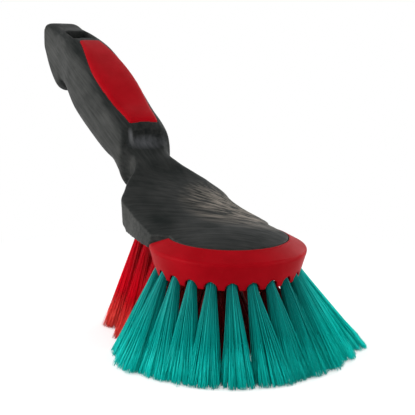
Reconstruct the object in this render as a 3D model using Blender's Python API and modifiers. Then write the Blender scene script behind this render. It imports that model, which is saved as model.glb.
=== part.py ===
"""Hand wash brush: one moulded handle and block, a soft bumper, a soft grip and stapled tufts.

Frame: +Z up, the handle runs towards +Y, the brush is symmetric about X = 0.
The origin is on the surface that the bristle tips stand on, under the centre of the round head.
"""
import math

import bmesh
import bpy
from mathutils import Matrix, Vector

MM = 0.001

# Head
BRISTLE_HEIGHT = 49.2 * MM          # surface to the bumper's lower edge
BLOCK_RADIUS = 44.5 * MM
BAND_WIDTH = 18.5 * MM              # sloping band that the green tufts are drilled in
BLOCK_FLAT_RISE = 3.0 * MM          # flat underside above the bumper's lower edge
DRILL_ANGLE = math.radians(30.0)    # slope of the band
BLOCK_CROWN_RISE = 27.3 * MM        # middle of the head above the bumper's lower edge
SEAT_GAP = 0.3 * MM                 # between pieces that touch

# Bumper
BUMPER_STAND_OUT = 2.0 * MM         # beyond the block
BUMPER_HEIGHT = 15.3 * MM           # lower edge to ridge
BUMPER_TAPER = 4.4 * MM             # wall leans in by this much
BUMPER_TOP_WIDTH = 11.0 * MM
BUMPER_TOP_RISE = 5.5 * MM
BUMPER_LIP = 2.1 * MM               # thickness of the top flange
BUMPER_WALL = 3.6 * MM
BUMPER_SEAT_WIDTH = 6.3 * MM        # ledge of the block under the flange
BUMPER_RIDGE_ROUND = 2.0 * MM
BUMPER_END_INNER = math.radians(100.0)
BUMPER_END_OUTER = math.radians(116.0)

# Tufts and their anchors
GREEN_TUFTS = 14
GREEN_PITCH = math.radians(15.8)
GREEN_TURN = math.radians(-4.0)     # no green hole lies in line with the handle
GREEN_INSET = 8.1 * MM              # middle of the green roots inside the block's radius
REAR_TUFTS = 10
REAR_END_GAP = 4.25 * MM            # the row's last tufts behind the bumper's ends
REAR_INSET = 4.5 * MM               # rear row inside the shoulders' width and length
REAR_CORNER = 16.0 * MM
REAR_DRILL_ANGLE = math.radians(16.0)
REAR_FAN_OFFSET = 27.5 * MM         # the rear tufts splay from this far in front of the head's centre
INNER_TUFTS = 3
INNER_RING_RADIUS = 18.5 * MM
HOLE_RADIUS = 3.65 * MM
HOLE_DEPTH = 6.5 * MM
TUFT_GAP = 0.4 * MM
NOTCH_GAP = 0.6 * MM
BARE_ROOT = 1.5 * MM                # bundle outside the hole before it opens
FRONT_REACH = 57.0 * MM             # tips of the front tufts from the head's centre
SIDE_REACH = 71.0 * MM
INNER_REACH = 32.0 * MM
STRAND_RINGS = (1, 5, 9)
STRAND_ROOT_SPAN = 2.45 * MM
STRAND_ROOT_RADIUS = 0.55 * MM
STRAND_TIP_RADIUS = 1.1 * MM
STRAND_SIDES = 3
STRAND_TRIM = 3.3 * MM              # what the flat cut takes off each strand
GREEN_FAN = 6.7 * MM                # half the width of a tuft at its tips, along the row
REAR_FAN = 5.4 * MM
INNER_FAN = 6.0 * MM
FAN_DEPTH = 6.0 * MM                # the same, across the row
ANCHOR_THICKNESS = 0.5 * MM
ANCHOR_WIDTH = 2.2 * MM
FOLD_THICKNESS = 1.4 * MM           # strands folded over the anchor

# Shoulders and neck, measured back from the rim of the block and up from the bumper's lower edge
SHOULDER_OFFSET = 25.0 * MM
SHOULDER_INSET = 8.5 * MM           # the shoulders are narrower than the block by this a side
FLANK_LEAN = 3.5 * MM               # of the block's sides behind the bumper
SHOULDER_LEAN = 0.8 * MM            # of the shoulders' sides
NECK_OFFSET = 58.0 * MM
NECK_HALF_WIDTH = 14.6 * MM
NECK_CROWN_RISE = 27.5 * MM         # top of the neck above the middle of the head
NECK_EDGE_RISE = 28.0 * MM          # upper edge of the flank, head to neck
NECK_BELLY_RISE = 14.0 * MM         # underside of the neck above the block's rear underside
NECK_FLANK_RISE = 22.0 * MM         # lower edge of the flank above it
UNDERSIDE_ROUND = 1.0 * MM
HEEL_RISE = 3.0 * MM                # lower edge of the flank above the underside, behind the last tufts
HEEL_TURN_RISE = 8.0 * MM           # the same, where the neck starts

# Handle, measured back from the guard ridge
GUARD_OFFSET = 68.0 * MM
GUARD_RISE = 76.3 * MM              # guard ridge above the bumper's lower edge
GUARD_FACE_LENGTH = 4.5 * MM        # steep face in front of the ridge
GUARD_FACE_DROP = 9.0 * MM
GUARD_ROUND = 1.5 * MM              # the ridge rounds over this far
HANDLE_LENGTH = 161.0 * MM
HANDLE_RISE = 73.5 * MM
GRIP_HALF_WIDTH = 19.3 * MM
END_HALF_WIDTH = 16.0 * MM
ROUND_START = 3.0 * MM              # the section is a full round from here on

# Soft grip, measured back from the guard ridge
GRIP_START = 2.6 * MM
GRIP_LENGTH = 96.4 * MM
GRIP_FRONT_HALF = 10.6 * MM
GRIP_MIDDLE_HALF = 14.2 * MM
GRIP_REAR_HALF = 9.0 * MM
GRIP_DEPTH = 3.0 * MM
GRIP_PROUD = 0.9 * MM
GRIP_CORNER = 2.5 * MM

# Thumb recess in front of the guard ridge
THUMB_HALF_WIDTH = 13.0 * MM
THUMB_LENGTH = 12.0 * MM
THUMB_LIP = 1.6 * MM                # left standing at the ridge
THUMB_DEPTH = 1.2 * MM
THUMB_CORNER = 3.0 * MM

# Hang slot, measured forward from the handle's end
SLOT_END_OFFSET = 35.0 * MM
SLOT_LENGTH = 20.0 * MM
SLOT_WIDTH = 19.0 * MM
SLOT_CORNER = 3.0 * MM

# Outlines of the head: (share of the way from one named station to the next, share of the named rise)
HEAD_CROWN_SHAPE = ((0.2, 0.058), (0.407, 0.2), (0.61, 0.436), (0.78, 0.69), (0.88, 0.96), (0.96, 1.1),
                    (1.015, 1.26))
HEAD_WIDTH_SHAPE = ((0.3, 0.05), (0.68, 0.5), (1.0, 1.0))
SHOULDER_WIDTH_SHAPE = ((0.18, 0.13), (0.424, 0.484), (0.627, 0.806), (1.0, 1.0))
UPPER_EDGE_SHAPE = ((0.0, 0.0), (0.122, 0.07), (0.231, 0.14), (0.461, 0.27), (0.678, 0.52), (0.765, 0.75),
                    (0.88, 0.89), (1.0, 1.0))
HEEL_START_SHARE = 0.85             # of the way to the shoulders, behind the last tufts
HEEL_SHARE = 0.93
BELLY_TURN_SHARE = 0.18
NECK_UNDERSIDE_SHARE = 0.6
NECK_BELLY_SHARE = 0.55
NECK_FLANK_SHARE = 0.64
LEAN_START_SHARE = 0.34

# Outlines of the handle: (share of its length, share of its rise or of the half width named beside it)
CROWN_SHAPE = ((0.0, 0.0), (0.034, 0.05), (0.109, 0.132), (0.252, 0.337), (0.4, 0.52), (0.581, 0.703),
               (0.761, 0.83), (0.86, 0.876), (0.953, 0.902), (0.984, 0.893), (1.0, 0.82))
BELLY_SHAPE = ((0.0, -0.59), (0.034, -0.527), (0.071, -0.462), (0.096, -0.43), (0.202, -0.37),
               (0.376, -0.225), (0.537, -0.07), (0.728, 0.155), (0.748, 0.14), (0.823, 0.185),
               (0.904, 0.315), (0.953, 0.445), (0.984, 0.58), (1.0, 0.67))
GRIP_WIDTH_SHAPE = ((0.0, 1.0), (0.3, 1.015), (0.55, 0.98))
END_WIDTH_SHAPE = ((0.76, 1.0), (0.9, 0.945), (0.953, 0.925), (0.984, 0.87), (1.0, 0.7))

# Exponents of the section at the head's centre, the shoulders, the neck, the guard and the end:
# 2 and 1 give a dome with a crisp rim, higher ones a round-cornered grip
UPPER_FLATNESS = (2.0, 2.2, 3.2, 3.2, 4.4)
UPPER_ROUNDNESS = (1.0, 1.5, 2.8, 2.9, 4.4)
LOWER_ROUNDNESS = (8.0, 4.0, 3.4, 3.0, 3.2)

# Fineness of the meshes
LATHE_STEPS = 64
HOLE_SIDES = 12
TUFT_SIDES = 10
ARC_STEPS = 4
GRIP_OUTLINE_STEPS = 8
UPPER_POINTS = 9
LOWER_POINTS = 6
HEAD_STATIONS = 10                  # also in front of it and in the shoulders
SCOOP_STATIONS = 5
GRIP_STATIONS = 14
END_STATIONS = 10
END_SHARE = 0.3                     # of the handle's length, where the stations draw together
MERGE = 0.01 * MM
CUT_CLEAR = 40.0 * MM               # how far cutters reach past what they cut
FILLET_SHARE = 0.45                 # most that a fillet takes of an edge

# Finishes: colour, roughness and metallic value
BLACK_PLASTIC = (0.035, 0.037, 0.036), 0.5, 0.0
RED_RUBBER = (0.50, 0.012, 0.018), 0.45, 0.0
GREEN_BRISTLE = (0.0, 0.27, 0.21), 0.4, 0.0
RED_BRISTLE = (0.55, 0.01, 0.02), 0.4, 0.0
ANCHOR_STEEL = (0.6, 0.6, 0.6), 0.3, 1.0

# Levels and stations that follow from the sizes
BUMPER_RADIUS = BLOCK_RADIUS + BUMPER_STAND_OUT
BLOCK_FLAT_RADIUS = BLOCK_RADIUS - BAND_WIDTH
GREEN_RING_RADIUS = BLOCK_RADIUS - GREEN_INSET
LOWER_EDGE_Z = BRISTLE_HEIGHT
FLAT_Z = LOWER_EDGE_Z + BLOCK_FLAT_RISE
RIM_Z = FLAT_Z + BAND_WIDTH * math.tan(DRILL_ANGLE)
CROWN_Z = LOWER_EDGE_Z + BLOCK_CROWN_RISE
RIDGE_Z = LOWER_EDGE_Z + BUMPER_HEIGHT
TOP_EDGE_Z = RIDGE_Z + BUMPER_TOP_RISE
TOP_EDGE_RADIUS = BUMPER_RADIUS - BUMPER_TOP_WIDTH
DOME_CURVE = (CROWN_Z - TOP_EDGE_Z) / TOP_EDGE_RADIUS ** 2
SEAT_RADIUS = TOP_EDGE_RADIUS + BUMPER_SEAT_WIDTH
SHOULDER_Y = BLOCK_RADIUS + SHOULDER_OFFSET
SHOULDER_HALF_WIDTH = BLOCK_RADIUS - SHOULDER_INSET
NECK_Y = BLOCK_RADIUS + NECK_OFFSET
GUARD_Y = BLOCK_RADIUS + GUARD_OFFSET
GUARD_Z = LOWER_EDGE_Z + GUARD_RISE
ROUND_Y = GUARD_Y + ROUND_START
END_Y = GUARD_Y + HANDLE_LENGTH
TUFT_RADIUS = HOLE_RADIUS - TUFT_GAP
ANCHOR_LENGTH = 2.0 * TUFT_RADIUS


def smooth_curve(points):
    """A curve through (x, y) points that never overshoots between two of them."""
    steps = [(b[0] - a[0], b[1] - a[1]) for a, b in zip(points, points[1:])]
    secants = [dy / dx for dx, dy in steps]
    slopes = [secants[0]]
    for (dx0, _), (dx1, _), s0, s1 in zip(steps, steps[1:], secants, secants[1:]):
        if s0 * s1 <= 0.0:
            slopes.append(0.0)
        else:
            w0, w1 = 2.0 * dx1 + dx0, dx1 + 2.0 * dx0
            slopes.append((w0 + w1) / (w0 / s0 + w1 / s1))
    slopes.append(secants[-1])

    def value(x):
        if x <= points[0][0]:
            return points[0][1]
        for i, (dx, dy) in enumerate(steps):
            if x <= points[i + 1][0]:
                t = (x - points[i][0]) / dx
                rise = t * t * (3.0 - 2.0 * t) * dy
                bend = t * (1.0 - t) * dx
                return points[i][1] + rise + bend * ((1.0 - t) * slopes[i] - t * slopes[i + 1])
        return points[-1][1]

    return value


def between(start, finish, share):
    return start + (finish - start) * share


# Outline of the body seen from the side and from above
def handle_points(shape):
    return [(between(GUARD_Y, END_Y, u), GUARD_Z + v * HANDLE_RISE) for u, v in shape]


def handle_widths(shape, half):
    return [(between(GUARD_Y, END_Y, u), v * half) for u, v in shape]


def dome_z(y):
    return CROWN_Z - DOME_CURVE * y * y


crown_line = smooth_curve(
    [(0.0, CROWN_Z)]
    + [(u * NECK_Y, CROWN_Z + v * NECK_CROWN_RISE) for u, v in HEAD_CROWN_SHAPE]
    + [(GUARD_Y - GUARD_FACE_LENGTH, GUARD_Z - GUARD_FACE_DROP),
       (GUARD_Y - GUARD_ROUND, GUARD_Z - GUARD_ROUND)]
    + handle_points(CROWN_SHAPE))
belly_line = smooth_curve(
    [(HEEL_START_SHARE * SHOULDER_Y, LOWER_EDGE_Z),
     (HEEL_SHARE * SHOULDER_Y, RIM_Z - UNDERSIDE_ROUND),
     (between(SHOULDER_Y, NECK_Y, BELLY_TURN_SHARE), RIM_Z - 0.5 * UNDERSIDE_ROUND),
     (between(SHOULDER_Y, NECK_Y, NECK_UNDERSIDE_SHARE), RIM_Z + NECK_BELLY_SHARE * NECK_BELLY_RISE),
     (NECK_Y, RIM_Z + NECK_BELLY_RISE)]
    + handle_points(BELLY_SHAPE))
width_line = smooth_curve(
    [(0.0, BLOCK_RADIUS)]
    + [(u * SHOULDER_Y, between(BLOCK_RADIUS, SHOULDER_HALF_WIDTH, v)) for u, v in HEAD_WIDTH_SHAPE]
    + [(between(SHOULDER_Y, NECK_Y, u), between(SHOULDER_HALF_WIDTH, NECK_HALF_WIDTH, v))
       for u, v in SHOULDER_WIDTH_SHAPE]
    + handle_widths(GRIP_WIDTH_SHAPE, GRIP_HALF_WIDTH)
    + handle_widths(END_WIDTH_SHAPE, END_HALF_WIDTH))


def handle_middle(y):
    return 0.5 * (crown_line(y) + belly_line(y))


upper_edge_line = smooth_curve(
    [(u * NECK_Y, dome_z(BLOCK_RADIUS) + v * NECK_EDGE_RISE) for u, v in UPPER_EDGE_SHAPE]
    + [(ROUND_Y, handle_middle(ROUND_Y))])
lower_edge_line = smooth_curve([
    (HEEL_START_SHARE * SHOULDER_Y, FLAT_Z),
    (HEEL_SHARE * SHOULDER_Y, RIM_Z + HEEL_RISE),
    (between(SHOULDER_Y, NECK_Y, BELLY_TURN_SHARE), RIM_Z + HEEL_TURN_RISE),
    (between(SHOULDER_Y, NECK_Y, NECK_UNDERSIDE_SHARE), RIM_Z + NECK_FLANK_SHARE * NECK_FLANK_RISE),
    (NECK_Y, RIM_Z + NECK_FLANK_RISE),
    (ROUND_Y, handle_middle(ROUND_Y)),
])
# How far the flank leans in at its upper edge
flank_lean = smooth_curve([(0.0, 0.0), (LEAN_START_SHARE * SHOULDER_Y, FLANK_LEAN),
                           (SHOULDER_Y, SHOULDER_LEAN), (NECK_Y, 0.0)])


def along_body(values):
    return smooth_curve(list(zip((0.0, SHOULDER_Y, NECK_Y, GUARD_Y, END_Y), values)))


upper_flatness = along_body(UPPER_FLATNESS)
upper_roundness = along_body(UPPER_ROUNDNESS)
lower_roundness = along_body(LOWER_ROUNDNESS)


def half_width(y):
    if y < 0.0:
        return math.sqrt(BLOCK_RADIUS ** 2 - y ** 2)
    return width_line(y)


def half_section(y, grow, drop):
    """Points of the section at y, from the middle of the underside round +X to the middle of the top."""
    side = half_width(y) + grow
    crown = (dome_z(y) if y < 0.0 else crown_line(y)) + grow
    belly = belly_line(y) - grow - drop
    high = handle_middle(y) if y > ROUND_Y else upper_edge_line(y)
    low = handle_middle(y) if y > ROUND_Y else min(lower_edge_line(y), high)
    points = []
    for i in range(LOWER_POINTS):
        t = 0.5 * math.pi * i / LOWER_POINTS
        power = 2.0 / lower_roundness(y)
        points.append((side * math.sin(t) ** power, low - (low - belly) * math.cos(t) ** power))
    for i in range(UPPER_POINTS + 1):
        t = 0.5 * math.pi * i / UPPER_POINTS
        x = (side - flank_lean(y)) * math.cos(t) ** (2.0 / upper_flatness(y)) if i < UPPER_POINTS else 0.0
        points.append((x, high + (crown - high) * math.sin(t) ** (2.0 / upper_roundness(y))))
    return points


def shares(count):
    """Even shares of the way from 0 to 1, without the 0."""
    return [i / count for i in range(1, count + 1)]


def body_stations():
    """Places along Y of the loft's sections, closer together towards both round ends."""
    end_start = between(END_Y, GUARD_Y, END_SHARE)
    front = [-BLOCK_RADIUS * math.cos(0.5 * math.pi * t) for t in shares(HEAD_STATIONS + 1)[:-1]]
    head = [between(0.0, SHOULDER_Y, t) for t in shares(HEAD_STATIONS)]
    shoulder = [between(SHOULDER_Y, NECK_Y, t) for t in shares(HEAD_STATIONS)]
    scoop = [between(NECK_Y, GUARD_Y, t) for t in shares(SCOOP_STATIONS)]
    grip = [between(GUARD_Y, end_start, t) for t in shares(GRIP_STATIONS)]
    end = [between(end_start, END_Y, math.sin(0.5 * math.pi * t)) for t in shares(END_STATIONS)]
    return front + [0.0] + head + shoulder + scoop + grip + end


# Modelling helpers
def new_object(name, mesh, collection):
    obj = bpy.data.objects.new(name, mesh)
    collection.objects.link(obj)
    return obj


def mesh_from(name, bm):
    bmesh.ops.recalc_face_normals(bm, faces=bm.faces)
    mesh = bpy.data.meshes.new(name)
    bm.to_mesh(mesh)
    bm.free()
    return mesh


def loft_body(name, collection, grow=0.0, drop=0.0):
    """Handle and block as a loft along Y, mirrored about X = 0.

    grow offsets the surface, and drop lowers the underside.
    """
    bm = bmesh.new()
    rings = []
    for y in body_stations():
        rings.append([bm.verts.new((x, y, z)) for x, z in half_section(y, grow, drop)])
    for a, b in zip(rings, rings[1:]):
        for i in range(len(a) - 1):
            bm.faces.new((a[i], b[i], b[i + 1], a[i + 1]))
    bm.faces.new(rings[0])
    bm.faces.new(reversed(rings[-1]))
    bm.normal_update()
    mesh = bpy.data.meshes.new(name)
    bm.to_mesh(mesh)
    bm.free()
    obj = new_object(name, mesh, collection)
    mirror = obj.modifiers.new("Both sides", "MIRROR")
    mirror.use_axis = (True, False, False)
    mirror.merge_threshold = MERGE
    mirror.use_clip = True
    return obj


def filleted(corners):
    """A closed outline whose corners (x, y, radius) are rounded with arcs."""
    outline = []
    for i, (x, y, radius) in enumerate(corners):
        here = Vector((x, y))
        if radius <= 0.0:
            outline.append(tuple(here))
            continue
        before = Vector(corners[i - 1][:2]) - here
        after = Vector(corners[(i + 1) % len(corners)][:2]) - here
        half = 0.5 * before.angle(after)
        reach = min(radius / math.tan(half), FILLET_SHARE * before.length, FILLET_SHARE * after.length)
        a, b = here + before.normalized() * reach, here + after.normalized() * reach
        for k in range(ARC_STEPS + 1):
            t = k / ARC_STEPS
            outline.append(tuple(a * (1 - t) ** 2 + here * 2 * t * (1 - t) + b * t ** 2))
    return outline


def prism(name, outline, low, high, collection):
    """An upright solid on a flat outline."""
    bm = bmesh.new()
    face = bm.faces.new([bm.verts.new((x, y, low)) for x, y in outline])
    lifted = bmesh.ops.extrude_face_region(bm, geom=[face])["geom"]
    bmesh.ops.translate(bm, verts=[v for v in lifted if isinstance(v, bmesh.types.BMVert)],
                        vec=(0.0, 0.0, high - low))
    return new_object(name, mesh_from(name, bm), collection)


def lathe(name, outline, closed, collection):
    """A turned shape: an outline of (radius, height) points with a Screw modifier."""
    bm = bmesh.new()
    verts = [bm.verts.new((r, 0.0, z)) for r, z in outline]
    for a, b in zip(verts, verts[1:]):
        bm.edges.new((a, b))
    if closed:
        bm.edges.new((verts[-1], verts[0]))
    mesh = bpy.data.meshes.new(name)
    bm.to_mesh(mesh)
    bm.free()
    obj = new_object(name, mesh, collection)
    screw = obj.modifiers.new("Turned", "SCREW")
    screw.steps = LATHE_STEPS
    screw.render_steps = LATHE_STEPS
    screw.use_merge_vertices = True
    screw.merge_threshold = MERGE
    return obj


def combine(obj, other, operation):
    modifier = obj.modifiers.new(operation.capitalize() + " " + other.name, "BOOLEAN")
    modifier.operation = operation
    modifier.object = other
    modifier.solver = "EXACT"


def cutter(obj):
    obj.hide_render = True
    obj.display_type = "WIRE"
    return obj


def material(name, color, roughness, metallic):
    mat = bpy.data.materials.new(name)
    mat.use_nodes = True
    shader = mat.node_tree.nodes["Principled BSDF"]
    shader.inputs["Base Color"].default_value = (*color, 1.0)
    shader.inputs["Roughness"].default_value = roughness
    shader.inputs["Metallic"].default_value = metallic
    mat.diffuse_color = (*color, 1.0)
    return mat


# Bumper: a turned ring, open at the back
def seat_z(radius):
    """Height of the flange's underside, which lies parallel to its sloping top."""
    slope = BUMPER_TOP_RISE / BUMPER_TOP_WIDTH
    return TOP_EDGE_Z - BUMPER_LIP - slope * (radius - TOP_EDGE_RADIUS)


def bumper_outline():
    wall_foot = BUMPER_RADIUS - BUMPER_TAPER
    wall_top = FLAT_Z + (SEAT_RADIUS - BLOCK_FLAT_RADIUS) * math.tan(DRILL_ANGLE)
    return filleted([
        (TOP_EDGE_RADIUS, TOP_EDGE_Z, 0.0),
        (BUMPER_RADIUS, RIDGE_Z, BUMPER_RIDGE_ROUND),
        (wall_foot, LOWER_EDGE_Z, 0.0),
        (wall_foot - BUMPER_WALL, LOWER_EDGE_Z, 0.0),
        (SEAT_RADIUS, wall_top, 0.0),
        (SEAT_RADIUS, seat_z(SEAT_RADIUS), 0.0),
        (TOP_EDGE_RADIUS, seat_z(TOP_EDGE_RADIUS), 0.0),
    ])


def rebate_outline():
    """What the block leaves free for the bumper, a seat gap clear of it."""
    top = CROWN_Z + BUMPER_TOP_RISE
    outside = BUMPER_RADIUS + BUMPER_WALL
    inner = TOP_EDGE_RADIUS - SEAT_GAP
    wall = SEAT_RADIUS - SEAT_GAP
    return [
        (inner, top),
        (outside, top),
        (outside, LOWER_EDGE_Z - BUMPER_WALL),
        (wall, LOWER_EDGE_Z - BUMPER_WALL),
        (wall, seat_z(wall) - SEAT_GAP),
        (inner, seat_z(inner) - SEAT_GAP),
    ]


def rear_wedge(name, shift, collection):
    """The part of the ring behind the bumper's two ends, moved back by shift."""
    inner = Vector((math.sin(BUMPER_END_INNER), -math.cos(BUMPER_END_INNER))) * TOP_EDGE_RADIUS
    outer = Vector((math.sin(BUMPER_END_OUTER), -math.cos(BUMPER_END_OUTER))) * BUMPER_RADIUS
    along = (outer - inner).normalized()
    across = Vector((-along.y, along.x))
    start = inner - along * BUMPER_WALL + across * shift
    finish = outer + along * BUMPER_RADIUS + across * shift
    right = [tuple(start), tuple(finish)]
    outline = right + [(-x, y) for x, y in reversed(right)]
    return prism(name, outline, LOWER_EDGE_Z - CUT_CLEAR, CROWN_Z + CUT_CLEAR, collection)


# Tufts
def underside_point(x, y):
    """A point of the block's underside, before the holes."""
    band = min(max(math.hypot(x, y), BLOCK_FLAT_RADIUS), BLOCK_RADIUS) - BLOCK_FLAT_RADIUS
    return Vector((x, y, FLAT_Z + band * math.tan(DRILL_ANGLE)))


def ring_point(radius, angle):
    return underside_point(radius * math.sin(angle), -radius * math.cos(angle))


def rear_point(share):
    """A point of the rear row, which follows the shoulders from one end of the bumper to the other.

    share is how far along its half it lies, from -1 to 1.
    """
    half = SHOULDER_HALF_WIDTH - REAR_INSET - REAR_CORNER
    back = SHOULDER_Y - REAR_INSET
    turn = 0.5 * math.pi * REAR_CORNER
    row_end = REAR_END_GAP - BUMPER_RADIUS * math.cos(BUMPER_END_OUTER)
    along = abs(share) * (half + turn + back - REAR_CORNER - row_end)
    if along <= half:
        x, y = along, back
    elif along <= half + turn:
        angle = (along - half) / REAR_CORNER
        x = half + REAR_CORNER * math.sin(angle)
        y = back - REAR_CORNER * (1.0 - math.cos(angle))
    else:
        x, y = half + REAR_CORNER, back - REAR_CORNER - (along - half - turn)
    return underside_point(math.copysign(x, share), y)


def tuft_places():
    """Each tuft: name, root, heading, drill angle, travel of its tips, bare root and fan."""
    places = []
    for i in range(GREEN_TUFTS):
        angle = GREEN_TURN + GREEN_PITCH * (i + 0.5 - 0.5 * GREEN_TUFTS)
        root = ring_point(GREEN_RING_RADIUS, angle)
        reach = between(FRONT_REACH, SIDE_REACH, math.sin(angle) ** 2)
        bare = (root.z - LOWER_EDGE_Z) / math.cos(DRILL_ANGLE)
        places.append((f"tuft_green_{i + 1:02d}", root, angle - 0.5 * math.pi, DRILL_ANGLE,
                       reach - GREEN_RING_RADIUS, bare, GREEN_FAN))
    for i in range(REAR_TUFTS):
        root = rear_point(2.0 * i / (REAR_TUFTS - 1) - 1.0)
        heading = math.atan2(root.y + REAR_FAN_OFFSET, root.x)
        places.append((f"tuft_rear_{i + 1:02d}", root, heading, REAR_DRILL_ANGLE,
                       root.z * math.tan(REAR_DRILL_ANGLE), BARE_ROOT, REAR_FAN))
    for i in range(INNER_TUFTS):
        angle = math.tau * (i + 0.5) / INNER_TUFTS
        places.append((f"tuft_inner_{i + 1:02d}", ring_point(INNER_RING_RADIUS, angle),
                       angle - 0.5 * math.pi, 0.0, INNER_REACH - INNER_RING_RADIUS, BARE_ROOT, INNER_FAN))
    places.append(("tuft_centre", ring_point(0.0, 0.0), -0.5 * math.pi, 0.0, 0.0, BARE_ROOT, INNER_FAN))
    return places


def place(obj, root, heading):
    """Put a piece built about its root, with +X the way it splays, into its place on the head."""
    obj.location = root
    obj.rotation_euler = (0.0, 0.0, heading)


def outward(drill):
    return Vector((math.sin(drill), 0.0, -math.cos(drill)))


def rod(bm, start, end, radius_start, radius_end, sides):
    """A straight closed rod from start to end."""
    along = end - start
    turn = along.to_track_quat("Z", "Y").to_matrix().to_4x4()
    bmesh.ops.create_cone(bm, cap_ends=True, segments=sides, radius1=radius_start, radius2=radius_end,
                          depth=along.length, matrix=Matrix.Translation(0.5 * (start + end)) @ turn)


def strand_offsets():
    """Places of the strands in a round bundle of radius 1: a middle one and rings around it."""
    offsets = []
    for ring, count in enumerate(STRAND_RINGS):
        radius = ring / (len(STRAND_RINGS) - 1)
        for k in range(count):
            angle = math.tau * (k + 0.5 * ring) / count
            offsets.append((radius * math.cos(angle), radius * math.sin(angle)))
    return offsets


def strands_mesh(name, drill, bare, travel, fan, floor):
    """Strands that open from the end of the bundle and are cut flat where they stand."""
    out = outward(drill)
    side = Vector((0.0, 1.0, 0.0))
    up = out.cross(side)
    mouth = out * (bare - STRAND_TIP_RADIUS)
    tip_middle = Vector((travel, 0.0, -floor))
    bm = bmesh.new()
    for deep, across in strand_offsets():
        start = mouth + (up * deep + side * across) * STRAND_ROOT_SPAN
        tip = tip_middle + Vector((deep * FAN_DEPTH, across * fan, 0.0))
        beyond = tip + (tip - start).normalized() * STRAND_TRIM
        rod(bm, start, beyond, STRAND_ROOT_RADIUS, STRAND_TIP_RADIUS, STRAND_SIDES)
    bmesh.ops.bisect_plane(bm, geom=bm.verts[:] + bm.edges[:] + bm.faces[:], dist=0.1 * MERGE,
                           plane_co=(0.0, 0.0, -floor), plane_no=(0.0, 0.0, -1.0), clear_outer=True)
    rim = [edge for edge in bm.edges if edge.is_boundary]
    bmesh.ops.holes_fill(bm, edges=rim, sides=STRAND_SIDES + 1)
    return mesh_from(name, bm)


def bundle_mesh(name, drill, bare):
    out = outward(drill)
    bm = bmesh.new()
    rod(bm, out * -(HOLE_DEPTH - TUFT_GAP), out * bare, TUFT_RADIUS, TUFT_RADIUS, TUFT_SIDES)
    return mesh_from(name, bm)


def anchor_mesh(name, drill, gap, length):
    """A flat wire across the hole, at the fold of the bundle, grown by gap for its slot."""
    middle = outward(drill) * -(HOLE_DEPTH - TUFT_GAP - FOLD_THICKNESS - 0.5 * ANCHOR_WIDTH - gap)
    bm = bmesh.new()
    turn = Matrix.Rotation(-drill, 4, "Y")
    size = Matrix.Diagonal((ANCHOR_THICKNESS + 2 * gap, length, ANCHOR_WIDTH + 2 * gap, 1.0))
    bmesh.ops.create_cube(bm, size=1.0, matrix=Matrix.Translation(middle) @ turn @ size)
    return mesh_from(name, bm)


def hole_cutter(name, root, heading, drill, radius, depth, outside, collection):
    out = outward(drill)
    bm = bmesh.new()
    rod(bm, out * -depth, out * outside, radius, radius, HOLE_SIDES)
    obj = new_object(name, mesh_from(name, bm), collection)
    place(obj, root, heading)
    return obj


def join_meshes(name, objects, collection):
    """One mesh that holds the meshes of several placed cutters, which are then removed."""
    bpy.context.view_layer.update()
    bm = bmesh.new()
    for obj in objects:
        mesh = obj.data
        mesh.transform(obj.matrix_world)
        bm.from_mesh(mesh)
        bpy.data.objects.remove(obj)
        bpy.data.meshes.remove(mesh)
    mesh = bpy.data.meshes.new(name)
    bm.to_mesh(mesh)
    bm.free()
    return new_object(name, mesh, collection)


# Soft grip and hang slot
def grip_outline(gap):
    """Outline of the insert seen from above, grown by gap."""
    front = GUARD_Y + GRIP_START - gap
    rear = GUARD_Y + GRIP_START + GRIP_LENGTH + gap
    width = smooth_curve([(front, GRIP_FRONT_HALF + gap), (0.5 * (front + rear), GRIP_MIDDLE_HALF + gap),
                          (rear, GRIP_REAR_HALF + gap)])
    ys = [between(front, rear, i / GRIP_OUTLINE_STEPS) for i in range(GRIP_OUTLINE_STEPS + 1)]
    right = [(width(y), y, 0.0) for y in ys]
    right[0] = (*right[0][:2], GRIP_CORNER)
    right[-1] = (*right[-1][:2], GRIP_CORNER)
    return filleted(right + [(-x, y, r) for x, y, r in reversed(right)])


def rounded_rectangle(half, front, rear, corner):
    corners = ((half, front), (half, rear), (-half, rear), (-half, front))
    return filleted([(x, y, corner) for x, y in corners])


def slot_outline():
    rear = END_Y - SLOT_END_OFFSET
    return rounded_rectangle(0.5 * SLOT_WIDTH, rear - SLOT_LENGTH, rear, SLOT_CORNER)


def thumb_outline():
    rear = GUARD_Y - THUMB_LIP
    return rounded_rectangle(THUMB_HALF_WIDTH, rear - THUMB_LENGTH, rear, THUMB_CORNER)


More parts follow.
